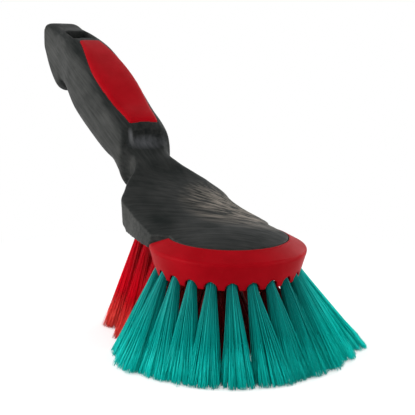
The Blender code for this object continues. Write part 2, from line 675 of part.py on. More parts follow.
# Sub-parts
def make_body(brush, cutters):
    """Handle and block, without the tufts' holes."""
    low = GUARD_Z - CUT_CLEAR
    high = GUARD_Z + HANDLE_RISE + CUT_CLEAR
    body = loft_body("handle_body", brush)
    underside = lathe("underside_cut", [
        (0.0, FLAT_Z),
        (BLOCK_FLAT_RADIUS, FLAT_Z),
        (BLOCK_RADIUS, RIM_Z),
        (SHOULDER_Y + CUT_CLEAR, RIM_Z),
        (SHOULDER_Y + CUT_CLEAR, FLAT_Z - CUT_CLEAR),
        (0.0, FLAT_Z - CUT_CLEAR),
    ], False, cutters)
    combine(body, cutter(underside), "DIFFERENCE")
    rebate = cutter(lathe("rebate_cut", rebate_outline(), True, cutters))
    combine(rebate, cutter(rear_wedge("rebate_end", SEAT_GAP, cutters)), "DIFFERENCE")
    combine(body, rebate, "DIFFERENCE")
    pocket = cutter(prism("pocket_cut", grip_outline(SEAT_GAP), low, high, cutters))
    pocket_floor = cutter(loft_body("pocket_floor", cutters, -GRIP_DEPTH - SEAT_GAP, HANDLE_RISE))
    combine(pocket, pocket_floor, "DIFFERENCE")
    combine(body, pocket, "DIFFERENCE")
    thumb = cutter(prism("thumb_cut", thumb_outline(), low, high, cutters))
    combine(thumb, cutter(loft_body("thumb_floor", cutters, -THUMB_DEPTH, HANDLE_RISE)), "DIFFERENCE")
    combine(body, thumb, "DIFFERENCE")
    combine(body, cutter(prism("slot_cut", slot_outline(), low, high, cutters)), "DIFFERENCE")
    return body


def make_grip(brush, cutters):
    low = GUARD_Z - CUT_CLEAR
    high = GUARD_Z + HANDLE_RISE + CUT_CLEAR
    grip = prism("grip_insert", grip_outline(0.0), low, high, brush)
    combine(grip, cutter(loft_body("grip_top", cutters, GRIP_PROUD)), "INTERSECT")
    combine(grip, cutter(loft_body("grip_floor", cutters, -GRIP_DEPTH, HANDLE_RISE)), "DIFFERENCE")
    return grip


def make_bumper(brush, cutters):
    """The rubber ring, without the tufts' notches."""
    bumper = lathe("rim_bumper", bumper_outline(), True, brush)
    combine(bumper, cutter(rear_wedge("bumper_end", 0.0, cutters)), "DIFFERENCE")
    return bumper


def make_tuft(name, root, heading, drill, travel, bare, fan, brush, cutters):
    """One tuft and the anchor that it is folded over."""
    tuft = new_object(name, bundle_mesh(name, drill, bare), brush)
    strands = new_object(name + "_strands", strands_mesh(name, drill, bare, travel, fan, root.z), cutters)
    slot = new_object(name + "_slot", anchor_mesh(name, drill, SEAT_GAP, 2.0 * ANCHOR_LENGTH), cutters)
    anchor_name = name.replace("tuft", "anchor")
    anchor = new_object(anchor_name, anchor_mesh(anchor_name, drill, 0.0, ANCHOR_LENGTH), brush)
    for obj in (tuft, strands, slot, anchor):
        place(obj, root, heading)
    combine(tuft, cutter(strands), "UNION")
    combine(tuft, cutter(slot), "DIFFERENCE")
    return tuft, anchor


def main():
    for obj in list(bpy.data.objects):
        bpy.data.objects.remove(obj, do_unlink=True)
    brush = bpy.data.collections.new("wash_brush")
    cutters = bpy.data.collections.new("wash_brush_cutters")
    for collection in (brush, cutters):
        bpy.context.scene.collection.children.link(collection)

    rubber = material("red_rubber", *RED_RUBBER)
    green_bristle = material("green_bristle", *GREEN_BRISTLE)
    red_bristle = material("red_bristle", *RED_BRISTLE)
    steel = material("anchor_steel", *ANCHOR_STEEL)

    body = make_body(brush, cutters)
    body.data.materials.append(material("black_plastic", *BLACK_PLASTIC))
    make_grip(brush, cutters).data.materials.append(rubber)
    bumper = make_bumper(brush, cutters)
    bumper.data.materials.append(rubber)

    holes = []
    notches = []
    for name, root, heading, drill, travel, bare, fan in tuft_places():
        tuft, anchor = make_tuft(name, root, heading, drill, travel, bare, fan, brush, cutters)
        anchor.data.materials.append(steel)
        is_green = name.startswith("tuft_green")
        tuft.data.materials.append(green_bristle if is_green else red_bristle)
        holes.append(hole_cutter(name + "_hole", root, heading, drill, HOLE_RADIUS, HOLE_DEPTH,
                                 HOLE_RADIUS, cutters))
        if is_green:
            notches.append(hole_cutter(name + "_notch", root, heading, drill, TUFT_RADIUS + NOTCH_GAP,
                                       0.0, 2.0 * bare, cutters))
    combine(body, cutter(join_meshes("tuft_holes", holes, cutters)), "DIFFERENCE")
    combine(bumper, cutter(join_meshes("bumper_notches", notches, cutters)), "DIFFERENCE")


if __name__ == "__main__":
    main()
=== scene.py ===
"""Looks of the hand wash brush: moulded body, rubber bumper and grip, and tufts of single filaments."""
import math

import bmesh
import bpy
import numpy as np
from mathutils import Matrix, Vector


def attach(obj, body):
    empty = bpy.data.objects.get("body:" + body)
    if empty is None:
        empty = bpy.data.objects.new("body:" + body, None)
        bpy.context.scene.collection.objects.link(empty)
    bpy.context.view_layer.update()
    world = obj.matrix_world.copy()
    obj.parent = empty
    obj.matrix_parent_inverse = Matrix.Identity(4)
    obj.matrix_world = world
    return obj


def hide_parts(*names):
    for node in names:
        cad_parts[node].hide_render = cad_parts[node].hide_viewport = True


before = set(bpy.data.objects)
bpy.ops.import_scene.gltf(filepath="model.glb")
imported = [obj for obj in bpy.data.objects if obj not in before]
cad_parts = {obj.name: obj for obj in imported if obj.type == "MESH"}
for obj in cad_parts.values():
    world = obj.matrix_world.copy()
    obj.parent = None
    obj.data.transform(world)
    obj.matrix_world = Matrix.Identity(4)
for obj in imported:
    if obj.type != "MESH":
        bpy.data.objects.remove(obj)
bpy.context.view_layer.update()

MM = 0.001
BODY = "root"

# Head, as in the frame
BRISTLE_HEIGHT = 49.2 * MM
BLOCK_RADIUS = 44.5 * MM
BAND_WIDTH = 18.5 * MM
BLOCK_FLAT_RISE = 3.0 * MM
DRILL_ANGLE = math.radians(30.0)
BLOCK_CROWN_RISE = 27.3 * MM
SEAT_GAP = 0.3 * MM

# Bumper
BUMPER_STAND_OUT = 2.0 * MM
BUMPER_HEIGHT = 15.8 * MM
BUMPER_TAPER = 4.4 * MM
BUMPER_TOP_WIDTH = 11.0 * MM
BUMPER_TOP_RISE = 5.8 * MM
BUMPER_LIP = 2.1 * MM
BUMPER_WALL = 3.6 * MM
BUMPER_SEAT_WIDTH = 6.3 * MM
BUMPER_RIDGE_ROUND = 2.4 * MM
BUMPER_END_INNER = math.radians(103.0)
BUMPER_END_OUTER = math.radians(116.0)

# Tufts
GREEN_TUFTS = 14
GREEN_PITCH = math.radians(15.8)
GREEN_TURN = math.radians(-4.0)
GREEN_INSET = 8.1 * MM
REAR_TUFTS = 10
REAR_END_GAP = 4.25 * MM
REAR_INSET = 4.5 * MM
REAR_CORNER = 16.0 * MM
REAR_DRILL_ANGLE = math.radians(16.0)
REAR_FAN_OFFSET = 27.5 * MM
INNER_TUFTS = 3
INNER_RING_RADIUS = 18.5 * MM
HOLE_RADIUS = 3.65 * MM
HOLE_DEPTH = 6.5 * MM
TUFT_RADIUS = 3.25 * MM
NOTCH_GAP = 0.6 * MM
BARE_ROOT = 1.5 * MM
FRONT_REACH = 55.5 * MM
SIDE_REACH = 70.0 * MM
INNER_REACH = 43.0 * MM

# Filaments
FILAMENTS = 250
FILAMENT_RADIUS = 0.26 * MM
FILAMENT_ROOT_SPAN = 2.8 * MM
FILAMENT_START = 3.2 * MM           # inside the hole
FILAMENT_RINGS = 4
FILAMENT_JITTER = 0.02              # of their places in the hole, as a share of the bundle's radius
FILAMENT_TRIM = 0.3 * MM            # how unevenly single ones are trimmed
TUBE_SIDES = 3
STEER_SHARE = 0.4                   # where along a filament its curve is steered
STEER_PULL = 0.05                   # how far it is steered back towards the drilled direction
STEER_JITTER = 0.25 * MM
FLAG_LENGTH = 17.0 * MM             # the ends are split over this length
FLAG_LENGTH_SHARES = (0.45, 1.35)   # the least and the most of it
FLAG_OVERLAP = 0.02                 # share of the length by which the split ends start inside the shaft
FLAGS = 4
FLAG_ROOT_RADIUS = 0.19 * MM
FLAG_TIP_RADIUS = 0.12 * MM
FLAG_SPREAD = 0.65 * MM             # how far the split ends stand apart
FLAG_ROOT_SHARE = 0.12              # shares of that spread at their root, middle and tip
FLAG_MIDDLE_SHARE = 0.65
FLAG_TIP_SHARES = (0.6, 1.5)
FLAG_TRIM = 0.4 * MM
CLUMPS = 17
CLUMP_JITTER = 0.1
CLUMP_PULL = 0.16
CLUMP_TRIM = 0.5 * MM               # how unevenly the clumps are trimmed
CLUMP_SCATTER = 0.35
STRAYS = 3
STRAY_SPREAD = 2.5 * MM
SQUARENESS = 0.5                    # of the tufts' outline at their tips
TIP_SCALE = 1.04                    # size of that outline, as a share of the fan
TIP_JITTER = 0.03
GREEN_FAN = 11.5 * MM
REAR_FAN = 11.0 * MM
INNER_FAN = 20.0 * MM
FAN_DEPTH = 7.5 * MM
INNER_DEPTH = 17.0 * MM
GREEN_LEAN = Vector((9.5 * MM, 0.0, 0.0))    # the green fan leans towards +X, as used
INNER_LEAN = 0.5 * GREEN_LEAN
REAR_LEAN = Vector((-1.5 * MM, -8.0 * MM, 0.0))
REAR_LEANING = 2                    # how many rear tufts, from the first, lean so
SEED = 7
# How much further than its reach each part of the green fan is bent, by its angle in degrees
GREEN_BEND = ((-107.0, 0.0), (-92.0, 1.0), (-67.0, -7.0), (-48.0, -4.5), (-18.0, 0.0), (11.0, -1.5),
              (48.0, -2.5), (63.0, 3.0), (83.0, 3.5), (99.0, 2.5))
# How far each part of the green fan sways along SWAY_DIRECTION, and its share of the fan's width
SWAY_DIRECTION = Vector((0.851, -0.525, 0.0))
GREEN_SWAY = ((-107.0, 0.0), (-91.0, 0.0), (-75.0, -1.5), (-59.0, -4.0), (-43.5, -7.6), (-27.7, -4.5),
              (-12.0, 0.0), (4.0, -1.5), (20.0, -0.5), (35.0, 0.0), (99.0, 0.0))
GREEN_OPENING = ((-107.0, 1.0), (-75.0, 1.0), (-43.5, 0.86), (-27.7, 0.78), (-12.0, 1.0), (20.0, 1.0),
                 (99.0, 1.0))

# Shoulders and neck
SHOULDER_OFFSET = 25.0 * MM
SHOULDER_INSET = 8.5 * MM
FLANK_LEAN = 3.5 * MM
NECK_OFFSET = 58.0 * MM
NECK_HALF_WIDTH = 14.6 * MM
NECK_CROWN_RISE = 27.5 * MM
NECK_EDGE_RISE = 28.0 * MM
NECK_BELLY_RISE = 14.0 * MM
NECK_FLANK_RISE = 22.0 * MM
UNDERSIDE_ROUND = 1.0 * MM
HEEL_RISE = 3.0 * MM
HEEL_TURN_RISE = 8.0 * MM

# Handle
GUARD_OFFSET = 68.0 * MM
GUARD_RISE = 76.3 * MM
GUARD_FACE_LENGTH = 4.5 * MM
GUARD_FACE_DROP = 9.0 * MM
GUARD_ROUND = 1.5 * MM
HANDLE_LENGTH = 161.0 * MM
HANDLE_RISE = 73.5 * MM
GRIP_HALF_WIDTH = 19.3 * MM
END_HALF_WIDTH = 16.0 * MM
ROUND_START = 3.0 * MM
END_SHORT = 2.8 * MM

# Soft grip
GRIP_START = 0.8 * MM
GRIP_LENGTH = 96.8 * MM
GRIP_FRONT_HALF = 10.6 * MM
GRIP_MIDDLE_HALF = 15.2 * MM
GRIP_REAR_HALF = 8.2 * MM
GRIP_DEPTH = 3.0 * MM
GRIP_PROUD = 1.3 * MM
GRIP_CORNER = 2.5 * MM
GRIP_EDGE_ROUND = 2.6 * MM
GRIP_EDGE_DROP = 0.8 * MM

# Thumb recess, a scoop about a line across
THUMB_HALF_WIDTH = 12.3 * MM
THUMB_RADIUS = 9.0 * MM
THUMB_OFFSET = 11.0 * MM
THUMB_DROP = 8.0 * MM
THUMB_CORNER = 2.0 * MM

# Hang slot
SLOT_END_OFFSET = 35.0 * MM
SLOT_LENGTH = 21.0 * MM
SLOT_WIDTH = 19.0 * MM
SLOT_CORNER = 3.0 * MM

# Outlines of the head and of the handle, as shares
HEAD_CROWN_SHAPE = ((0.2, 0.058), (0.407, 0.2), (0.61, 0.436), (0.78, 0.69), (0.88, 0.96), (0.96, 1.1),
                    (1.015, 1.26))
HEAD_WIDTH_SHAPE = ((0.3, 0.05), (0.68, 0.5), (0.9, 0.92), (1.0, 1.0))
SHOULDER_WIDTH_SHAPE = ((0.18, 0.19), (0.424, 0.484), (0.627, 0.806), (1.0, 1.0))
UPPER_EDGE_SHAPE = ((0.0, 0.0), (0.122, 0.07), (0.231, 0.14), (0.461, 0.27), (0.678, 0.52), (0.765, 0.75),
                    (0.88, 0.89), (1.0, 1.0))
HEEL_START_SHARE = 0.85
HEEL_SHARE = 0.93
BELLY_TURN_SHARE = 0.18
NECK_UNDERSIDE_SHARE = 0.6
NECK_BELLY_SHARE = 0.55
NECK_FLANK_SHARE = 0.64
FLANK_LEAN_SHAPE = ((0.0, 0.0), (0.34, 1.0), (0.72, 0.46), (0.86, -0.1), (0.935, -0.45), (1.01, -0.25),
                    (1.09, 0.0))
CROWN_SHAPE = ((0.0, 0.0), (0.034, 0.05), (0.109, 0.132), (0.252, 0.337), (0.4, 0.52), (0.581, 0.703),
               (0.761, 0.813), (0.86, 0.856), (0.953, 0.9), (0.984, 0.903), (1.0, 0.865))
BELLY_SHAPE = ((0.0, -0.59), (0.034, -0.527), (0.071, -0.462), (0.096, -0.43), (0.202, -0.37),
               (0.376, -0.225), (0.537, -0.07), (0.78, 0.242), (0.797, 0.205), (0.845, 0.172),
               (0.904, 0.262), (0.953, 0.415), (0.984, 0.575), (1.0, 0.66))
GRIP_WIDTH_SHAPE = ((0.0, 1.0), (0.3, 1.015), (0.55, 0.98))
END_WIDTH_SHAPE = ((0.76, 1.0), (0.9, 0.95), (0.953, 0.95), (0.984, 0.97), (1.0, 0.93))
# Powers of the rounded sections at the head's middle, the shoulder, the neck, the guard, late in the
# handle and at its end
LATE_SHARE = 0.8
UPPER_FLATNESS = (2.0, 2.2, 3.2, 3.2, 4.2, 5.6)
UPPER_ROUNDNESS = (1.0, 1.5, 2.8, 2.9, 4.1, 4.0)
LOWER_ROUNDNESS = (8.0, 4.0, 3.4, 3.0, 3.1, 3.2)

# Fineness
BODY_STATION_STEP = 1.6 * MM
FRONT_STEPS = 24
LOWER_POINTS = 18
FLANK_POINTS = 4
UPPER_POINTS = 26
LATHE_STEPS = 180
GRIP_STEPS = 24
HOLE_SIDES = 20
SCOOP_SIDES = 64
SCOOP_CORNER_STEPS = 3
BODY_VOXEL = 0.75 * MM
RUBBER_VOXEL = 0.5 * MM
MOULDED_ROUNDS = 3                  # of smoothing
GRIP_ROUNDS = 7
MERGE_DISTANCE = 0.001 * MM
WELD_DISTANCE = 0.01 * MM
LEVEL_TOLERANCE = 0.1 * MM
ARC_STEPS = 8
ARC_SHARE = 0.45                    # the most of a side that a rounded corner takes
CUT_CLEAR = 40.0 * MM

# Camera, fitted to the photograph, and its picture
CAMERA_DISTANCE = 483.564 * MM
CAMERA_HEIGHT = 184.526 * MM
CAMERA_AZIMUTH = math.radians(-31.687)
CAMERA_PITCH = math.radians(11.429)
CAMERA_YAW = math.radians(1.471)
CAMERA_ROLL = math.radians(1.254)
CAMERA_FOCAL_PX = 850.0
PICTURE_PX = 415.0
SENSOR_MM = 36.0

# Marked places of the plastic, each with its reach along the axes: scuffs with a painted sheen on the top of
# the head, a painted highlight band in the thumb recess and a painted highlight on that recess's rim
SCUFF_AND_SHEEN_CENTRE = (26.0 * MM, 30.0 * MM, 78.0 * MM)
SCUFF_AND_SHEEN_REACH = (38.0 * MM, 46.0 * MM, 44.0 * MM)
THUMB_HIGHLIGHT_CENTRE = (0.0, 106.0 * MM, 113.0 * MM)
THUMB_HIGHLIGHT_REACH = (18.0 * MM, 8.0 * MM, 6.0 * MM)
RIM_HIGHLIGHT_CENTRE = (-11.8 * MM, 108.5 * MM, 117.0 * MM)
RIM_HIGHLIGHT_REACH = (2.2 * MM, 5.0 * MM, 8.0 * MM)

# Fine streaks of the plastic, which follow the handle and lie across the head
STREAK_SCALE = 520.0
STREAK_STRETCH = (1.0, 0.06, 1.0)
HANDLE_SLOPE = math.radians(24.0)
HEAD_STREAK_TURN = math.radians(-52.0)
HEAD_STREAKS_Y = (96.0 * MM, 70.0 * MM)

# Where the filaments change colour: out of the painted shade at the root, into the paler tip, darker along
# the lowest millimetres, and paler towards +X, where light is painted
ROOT_SHADE_Z = (58.0 * MM, 28.0 * MM)
TIP_Z = (27.0 * MM, 9.0 * MM)
# Darker along the lowest few millimetres
BOTTOM_Z = (2.2 * MM, 0.3 * MM)
# Painted light: filaments paler towards +X
LIT_SIDE_X = (20.0 * MM, 54.0 * MM)

# Colours
WHITE = (1.0, 1.0, 1.0, 1.0)
FLOOR_GREY = (0.8, 0.8, 0.8, 1.0)
PLASTIC_DARK = (0.004, 0.006, 0.0055, 1.0)
PLASTIC_LIGHT = (0.025, 0.026, 0.025, 1.0)
# Painted sheen: paler plastic on faces that turn to the sides
FLANK_SHEEN_DARK = (0.019, 0.0205, 0.0195, 1.0)
FLANK_SHEEN_LIGHT = (0.053, 0.054, 0.051, 1.0)
# Scuffs with a painted warm sheen on the head's top
SCUFF_AND_SHEEN_COLOR = (0.33, 0.285, 0.235, 1.0)
# Painted highlight band in the thumb recess
THUMB_HIGHLIGHT_COLOR = (0.085, 0.088, 0.095, 1.0)
# Painted highlight on the thumb recess's left rim
RIM_HIGHLIGHT_COLOR = (0.10, 0.102, 0.105, 1.0)
# Painted edge highlight of the plastic
PLASTIC_EDGE_HIGHLIGHT = (0.11, 0.11, 0.106, 1.0)
RUBBER_DARK = (0.31, 0.001, 0.005, 1.0)
RUBBER_LIGHT = (0.36, 0.002, 0.007, 1.0)
RUBBER_STREAK = (0.46, 0.06, 0.04, 1.0)
# Painted edge highlight of the rubber
RUBBER_EDGE_HIGHLIGHT = (0.46, 0.04, 0.03, 1.0)
STEEL_DARK = (0.42, 0.42, 0.41, 1.0)
STEEL_LIGHT = (0.63, 0.62, 0.60, 1.0)
# Shaded root (a painted shade), middle, tip and bottom end of the filaments
GREEN_COLORS = ((0.0, 0.11, 0.105, 1.0), (0.0, 0.38, 0.34, 1.0), (0.001, 0.63, 0.56, 1.0),
                (0.0, 0.36, 0.32, 1.0))
RED_COLORS = ((0.62, 0.002, 0.014, 1.0), (1.0, 0.004, 0.028, 1.0), (1.0, 0.10, 0.08, 1.0),
              (0.50, 0.01, 0.015, 1.0))
# A painted-shade copy of the red filaments, for the inner and centre tufts
SHADED_RED_COLORS = ((0.03, 0.001, 0.002, 1.0), (0.30, 0.002, 0.008, 1.0), (0.60, 0.05, 0.04, 1.0),
                   (0.40, 0.02, 0.015, 1.0))

# Studio
FLOOR_HALF = 4.0
FLOOR_DROP = 0.2 * MM
FLOOR_GLOW = 0.45
SHADOW_REACH = 160.0 * MM           # the floor keeps the shadow this far
SKY_LIGHT = 0.3
LAMP_TARGET = (0.0, 0.05, 0.07)
# Name, place, size and power
LAMPS = (
    ("left", (-1.2, -0.05, 0.32), 0.7, 7.4),
    ("front", (-0.1, -1.2, 0.8), 0.9, 3.0),
    ("top", (-0.1, -0.1, 1.4), 0.8, 2.5),
    ("right", (1.05, -0.65, 0.35), 0.8, 8.0),
    ("rear_left", (-1.06, 0.75, 0.5), 0.7, 7.0),
    ("rear_right", (1.22, 0.44, 0.6), 0.7, 4.5),
)

# Levels and stations that follow from the sizes
BUMPER_RADIUS = BLOCK_RADIUS + BUMPER_STAND_OUT
BLOCK_FLAT_RADIUS = BLOCK_RADIUS - BAND_WIDTH
GREEN_RING_RADIUS = BLOCK_RADIUS - GREEN_INSET
FLAT_Z = BRISTLE_HEIGHT + BLOCK_FLAT_RISE
RIM_Z = FLAT_Z + BAND_WIDTH * math.tan(DRILL_ANGLE)
CROWN_Z = BRISTLE_HEIGHT + BLOCK_CROWN_RISE
RIDGE_Z = BRISTLE_HEIGHT + BUMPER_HEIGHT
TOP_EDGE_Z = RIDGE_Z + BUMPER_TOP_RISE
TOP_EDGE_RADIUS = BUMPER_RADIUS - BUMPER_TOP_WIDTH
DOME_CURVE = (CROWN_Z - TOP_EDGE_Z) / TOP_EDGE_RADIUS ** 2
SEAT_RADIUS = TOP_EDGE_RADIUS + BUMPER_SEAT_WIDTH
SHOULDER_Y = BLOCK_RADIUS + SHOULDER_OFFSET
SHOULDER_HALF_WIDTH = BLOCK_RADIUS - SHOULDER_INSET
NECK_Y = BLOCK_RADIUS + NECK_OFFSET
GUARD_Y = BLOCK_RADIUS + GUARD_OFFSET
GUARD_Z = BRISTLE_HEIGHT + GUARD_RISE
ROUND_Y = GUARD_Y + ROUND_START
END_Y = GUARD_Y + HANDLE_LENGTH
BELOW_HANDLE_Z = GUARD_Z - CUT_CLEAR
ABOVE_HANDLE_Z = GUARD_Z + HANDLE_RISE + CUT_CLEAR


# Curves and outlines
def smooth_curve(points):
    """A curve through (x, y) points that never overshoots between two of them."""
    steps = [(b[0] - a[0], b[1] - a[1]) for a, b in zip(points, points[1:])]
    secants = [dy / dx for dx, dy in steps]
    slopes = [secants[0]]
    for (dx0, _), (dx1, _), s0, s1 in zip(steps, steps[1:], secants, secants[1:]):
        if s0 * s1 <= 0.0:
            slopes.append(0.0)
        else:
            w0, w1 = 2.0 * dx1 + dx0, dx1 + 2.0 * dx0
            slopes.append((w0 + w1) / (w0 / s0 + w1 / s1))
    slopes.append(secants[-1])

    def value(x):
        if x <= points[0][0]:
            return points[0][1]
        for i, (dx, dy) in enumerate(steps):
            if x <= points[i + 1][0]:
                t = (x - points[i][0]) / dx
                rise = t * t * (3.0 - 2.0 * t) * dy
                bend = t * (1.0 - t) * dx
                return points[i][1] + rise + bend * ((1.0 - t) * slopes[i] - t * slopes[i + 1])
        return points[-1][1]

    return value


def between(start, finish, share):
    return start + (finish - start) * share


def handle_points(shape):
    return [(between(GUARD_Y, END_Y, u), GUARD_Z + v * HANDLE_RISE) for u, v in shape]


def handle_widths(shape, half):
    return [(between(GUARD_Y, END_Y, u), v * half) for u, v in shape]


def dome_z(y):
    return CROWN_Z - DOME_CURVE * y * y


crown_line = smooth_curve(
    [(0.0, CROWN_Z)]
    + [(u * NECK_Y, CROWN_Z + v * NECK_CROWN_RISE) for u, v in HEAD_CROWN_SHAPE]
    + [(GUARD_Y - GUARD_FACE_LENGTH, GUARD_Z - GUARD_FACE_DROP),
       (GUARD_Y - GUARD_ROUND, GUARD_Z - GUARD_ROUND)]
    + handle_points(CROWN_SHAPE))
belly_line = smooth_curve(
    [(HEEL_START_SHARE * SHOULDER_Y, BRISTLE_HEIGHT),
     (HEEL_SHARE * SHOULDER_Y, RIM_Z - UNDERSIDE_ROUND),
     (between(SHOULDER_Y, NECK_Y, BELLY_TURN_SHARE), RIM_Z - 0.5 * UNDERSIDE_ROUND),
     (between(SHOULDER_Y, NECK_Y, NECK_UNDERSIDE_SHARE), RIM_Z + NECK_BELLY_SHARE * NECK_BELLY_RISE),
     (NECK_Y, RIM_Z + NECK_BELLY_RISE)]
    + handle_points(BELLY_SHAPE))
width_line = smooth_curve(
    [(0.0, BLOCK_RADIUS)]
    + [(u * SHOULDER_Y, between(BLOCK_RADIUS, SHOULDER_HALF_WIDTH, v)) for u, v in HEAD_WIDTH_SHAPE]
    + [(between(SHOULDER_Y, NECK_Y, u), between(SHOULDER_HALF_WIDTH, NECK_HALF_WIDTH, v))
       for u, v in SHOULDER_WIDTH_SHAPE]
    + handle_widths(GRIP_WIDTH_SHAPE, GRIP_HALF_WIDTH)
    + handle_widths(END_WIDTH_SHAPE, END_HALF_WIDTH))


def handle_middle(y):
    return 0.5 * (crown_line(y) + belly_line(y))


upper_edge_line = smooth_curve(
    [(u * NECK_Y, dome_z(BLOCK_RADIUS) + v * NECK_EDGE_RISE) for u, v in UPPER_EDGE_SHAPE]
    + [(ROUND_Y, handle_middle(ROUND_Y))])
lower_edge_line = smooth_curve([
    (HEEL_START_SHARE * SHOULDER_Y, FLAT_Z),
    (HEEL_SHARE * SHOULDER_Y, RIM_Z + HEEL_RISE),
    (between(SHOULDER_Y, NECK_Y, BELLY_TURN_SHARE), RIM_Z + HEEL_TURN_RISE),
    (between(SHOULDER_Y, NECK_Y, NECK_UNDERSIDE_SHARE), RIM_Z + NECK_FLANK_SHARE * NECK_FLANK_RISE),
    (NECK_Y, RIM_Z + NECK_FLANK_RISE),
    (ROUND_Y, handle_middle(ROUND_Y)),
])
flank_lean = smooth_curve([(u * SHOULDER_Y, v * FLANK_LEAN) for u, v in FLANK_LEAN_SHAPE])


def along_body(values):
    stations = (0.0, SHOULDER_Y, NECK_Y, GUARD_Y, between(GUARD_Y, END_Y, LATE_SHARE), END_Y)
    return smooth_curve(list(zip(stations, values)))


upper_flatness = along_body(UPPER_FLATNESS)
upper_roundness = along_body(UPPER_ROUNDNESS)
lower_roundness = along_body(LOWER_ROUNDNESS)


def half_width(y):
    if y < 0.0:
        return math.sqrt(BLOCK_RADIUS ** 2 - y ** 2)
    return width_line(y)


def half_section(y, grow, drop):
    """Points of the section at y, from the middle of the underside round +X to the middle of the top."""
    side = half_width(y) + grow
    crown = (dome_z(y) if y < 0.0 else crown_line(y)) + grow
    belly = belly_line(y) - grow - drop
    high = handle_middle(y) if y > ROUND_Y else upper_edge_line(y)
    low = handle_middle(y) if y > ROUND_Y else min(lower_edge_line(y), high)
    leaned = side - flank_lean(y)
    points = []
    for i in range(LOWER_POINTS):
        t = 0.5 * math.pi * i / LOWER_POINTS
        power = 2.0 / lower_roundness(y)
        points.append((side * math.sin(t) ** power, low - (low - belly) * math.cos(t) ** power))
    for i in range(FLANK_POINTS):
        share = i / FLANK_POINTS
        points.append((between(side, leaned, share), between(low, high, share)))
    for i in range(UPPER_POINTS + 1):
        t = 0.5 * math.pi * i / UPPER_POINTS
        x = leaned * math.cos(t) ** (2.0 / upper_flatness(y)) if i < UPPER_POINTS else 0.0
        points.append((x, high + (crown - high) * math.sin(t) ** (2.0 / upper_roundness(y))))
    return points


# Modelling helpers
def new_object(name, mesh):
    obj = bpy.data.objects.new(name, mesh)
    bpy.context.scene.collection.objects.link(obj)
    return obj


def mesh_object(name, bm):
    bmesh.ops.recalc_face_normals(bm, faces=bm.faces)
    mesh = bpy.data.meshes.new(name)
    bm.to_mesh(mesh)
    bm.free()
    return new_object(name, mesh)


def loft_body(name, grow=0.0, drop=0.0):
    """Handle and block as a loft along Y. grow offsets the surface, and drop lowers the underside."""
    front = [-BLOCK_RADIUS * math.cos(0.5 * math.pi * i / FRONT_STEPS) for i in range(1, FRONT_STEPS)]
    count = round(END_Y / BODY_STATION_STEP)
    stations = front + [(END_Y - END_SHORT) * i / count for i in range(count + 1)]
    bm = bmesh.new()
    rings = []
    for y in stations:
        half = half_section(y, grow, drop)
        ring = half + [(-x, z) for x, z in reversed(half[1:-1])]
        rings.append([bm.verts.new((x, y, z)) for x, z in ring])
    for a, b in zip(rings, rings[1:]):
        for i in range(len(a)):
            j = (i + 1) % len(a)
            bm.faces.new((a[i], b[i], b[j], a[j]))
    bm.faces.new(rings[0])
    bm.faces.new(rings[-1])
    weld(bm)
    return mesh_object(name, bm)


def filleted(corners):
    """A closed outline whose corners (x, y, radius) are rounded."""
    outline = []
    for i, (x, y, radius) in enumerate(corners):
        here = Vector((x, y))
        if radius <= 0.0:
            outline.append(tuple(here))
            continue
        before = Vector(corners[i - 1][:2]) - here
        after = Vector(corners[(i + 1) % len(corners)][:2]) - here
        half = 0.5 * before.angle(after)
        reach = min(radius / math.tan(half), ARC_SHARE * before.length, ARC_SHARE * after.length)
        a, b = here + before.normalized() * reach, here + after.normalized() * reach
        for k in range(ARC_STEPS + 1):
            t = k / ARC_STEPS
            outline.append(tuple(a * (1 - t) ** 2 + here * 2 * t * (1 - t) + b * t ** 2))
    return outline


def prism(name, outline, low, high):
    bm = bmesh.new()
    face = bm.faces.new([bm.verts.new((x, y, low)) for x, y in outline])
    lifted = bmesh.ops.extrude_face_region(bm, geom=[face])["geom"]
    bmesh.ops.translate(bm, verts=[v for v in lifted if isinstance(v, bmesh.types.BMVert)],
                        vec=(0.0, 0.0, high - low))
    return mesh_object(name, bm)


def lathe(name, outline):
    """A closed outline of (radius, height) points turned about Z."""
    bm = bmesh.new()
    verts = [bm.verts.new((r, 0.0, z)) for r, z in outline]
    edges = [bm.edges.new((a, b)) for a, b in zip(verts, verts[1:] + verts[:1])]
    bmesh.ops.spin(bm, geom=verts + edges, cent=(0, 0, 0), axis=(0, 0, 1), angle=math.tau,
                   steps=LATHE_STEPS, use_merge=True)
    bmesh.ops.remove_doubles(bm, verts=bm.verts, dist=MERGE_DISTANCE)
    return mesh_object(name, bm)


def combine(obj, other, operation):
    """Cut, join or intersect, remove the other solid and weld what the cut leaves very close."""
    modifier = obj.modifiers.new(operation, "BOOLEAN")
    modifier.operation = operation
    modifier.object = other
    modifier.solver = "EXACT"
    apply_modifiers(obj)
    bpy.data.objects.remove(other)
    bm = bmesh.new()
    bm.from_mesh(obj.data)
    weld(bm)
    bm.to_mesh(obj.data)
    bm.free()


def weld(bm):
    """Merge vertices that lie closer than any form, so that the next cut finds a closed solid."""
    bmesh.ops.remove_doubles(bm, verts=bm.verts[:], dist=WELD_DISTANCE)
    bmesh.ops.dissolve_degenerate(bm, edges=bm.edges[:], dist=WELD_DISTANCE)


def apply_modifiers(obj):
    bpy.context.view_layer.update()
    evaluated = obj.evaluated_get(bpy.context.evaluated_depsgraph_get())
    mesh = bpy.data.meshes.new_from_object(evaluated)
    obj.modifiers.clear()
    obj.data = mesh


def soften(obj, voxel, rounds):
    """Moulded edges: an even fine mesh whose sharp edges are rounded."""
    remesh = obj.modifiers.new("Even mesh", "REMESH")
    remesh.mode = "VOXEL"
    remesh.voxel_size = voxel
    smooth = obj.modifiers.new("Rounded", "SMOOTH")
    smooth.factor = 0.5
    smooth.iterations = rounds
    apply_modifiers(obj)
    obj.data.shade_smooth()


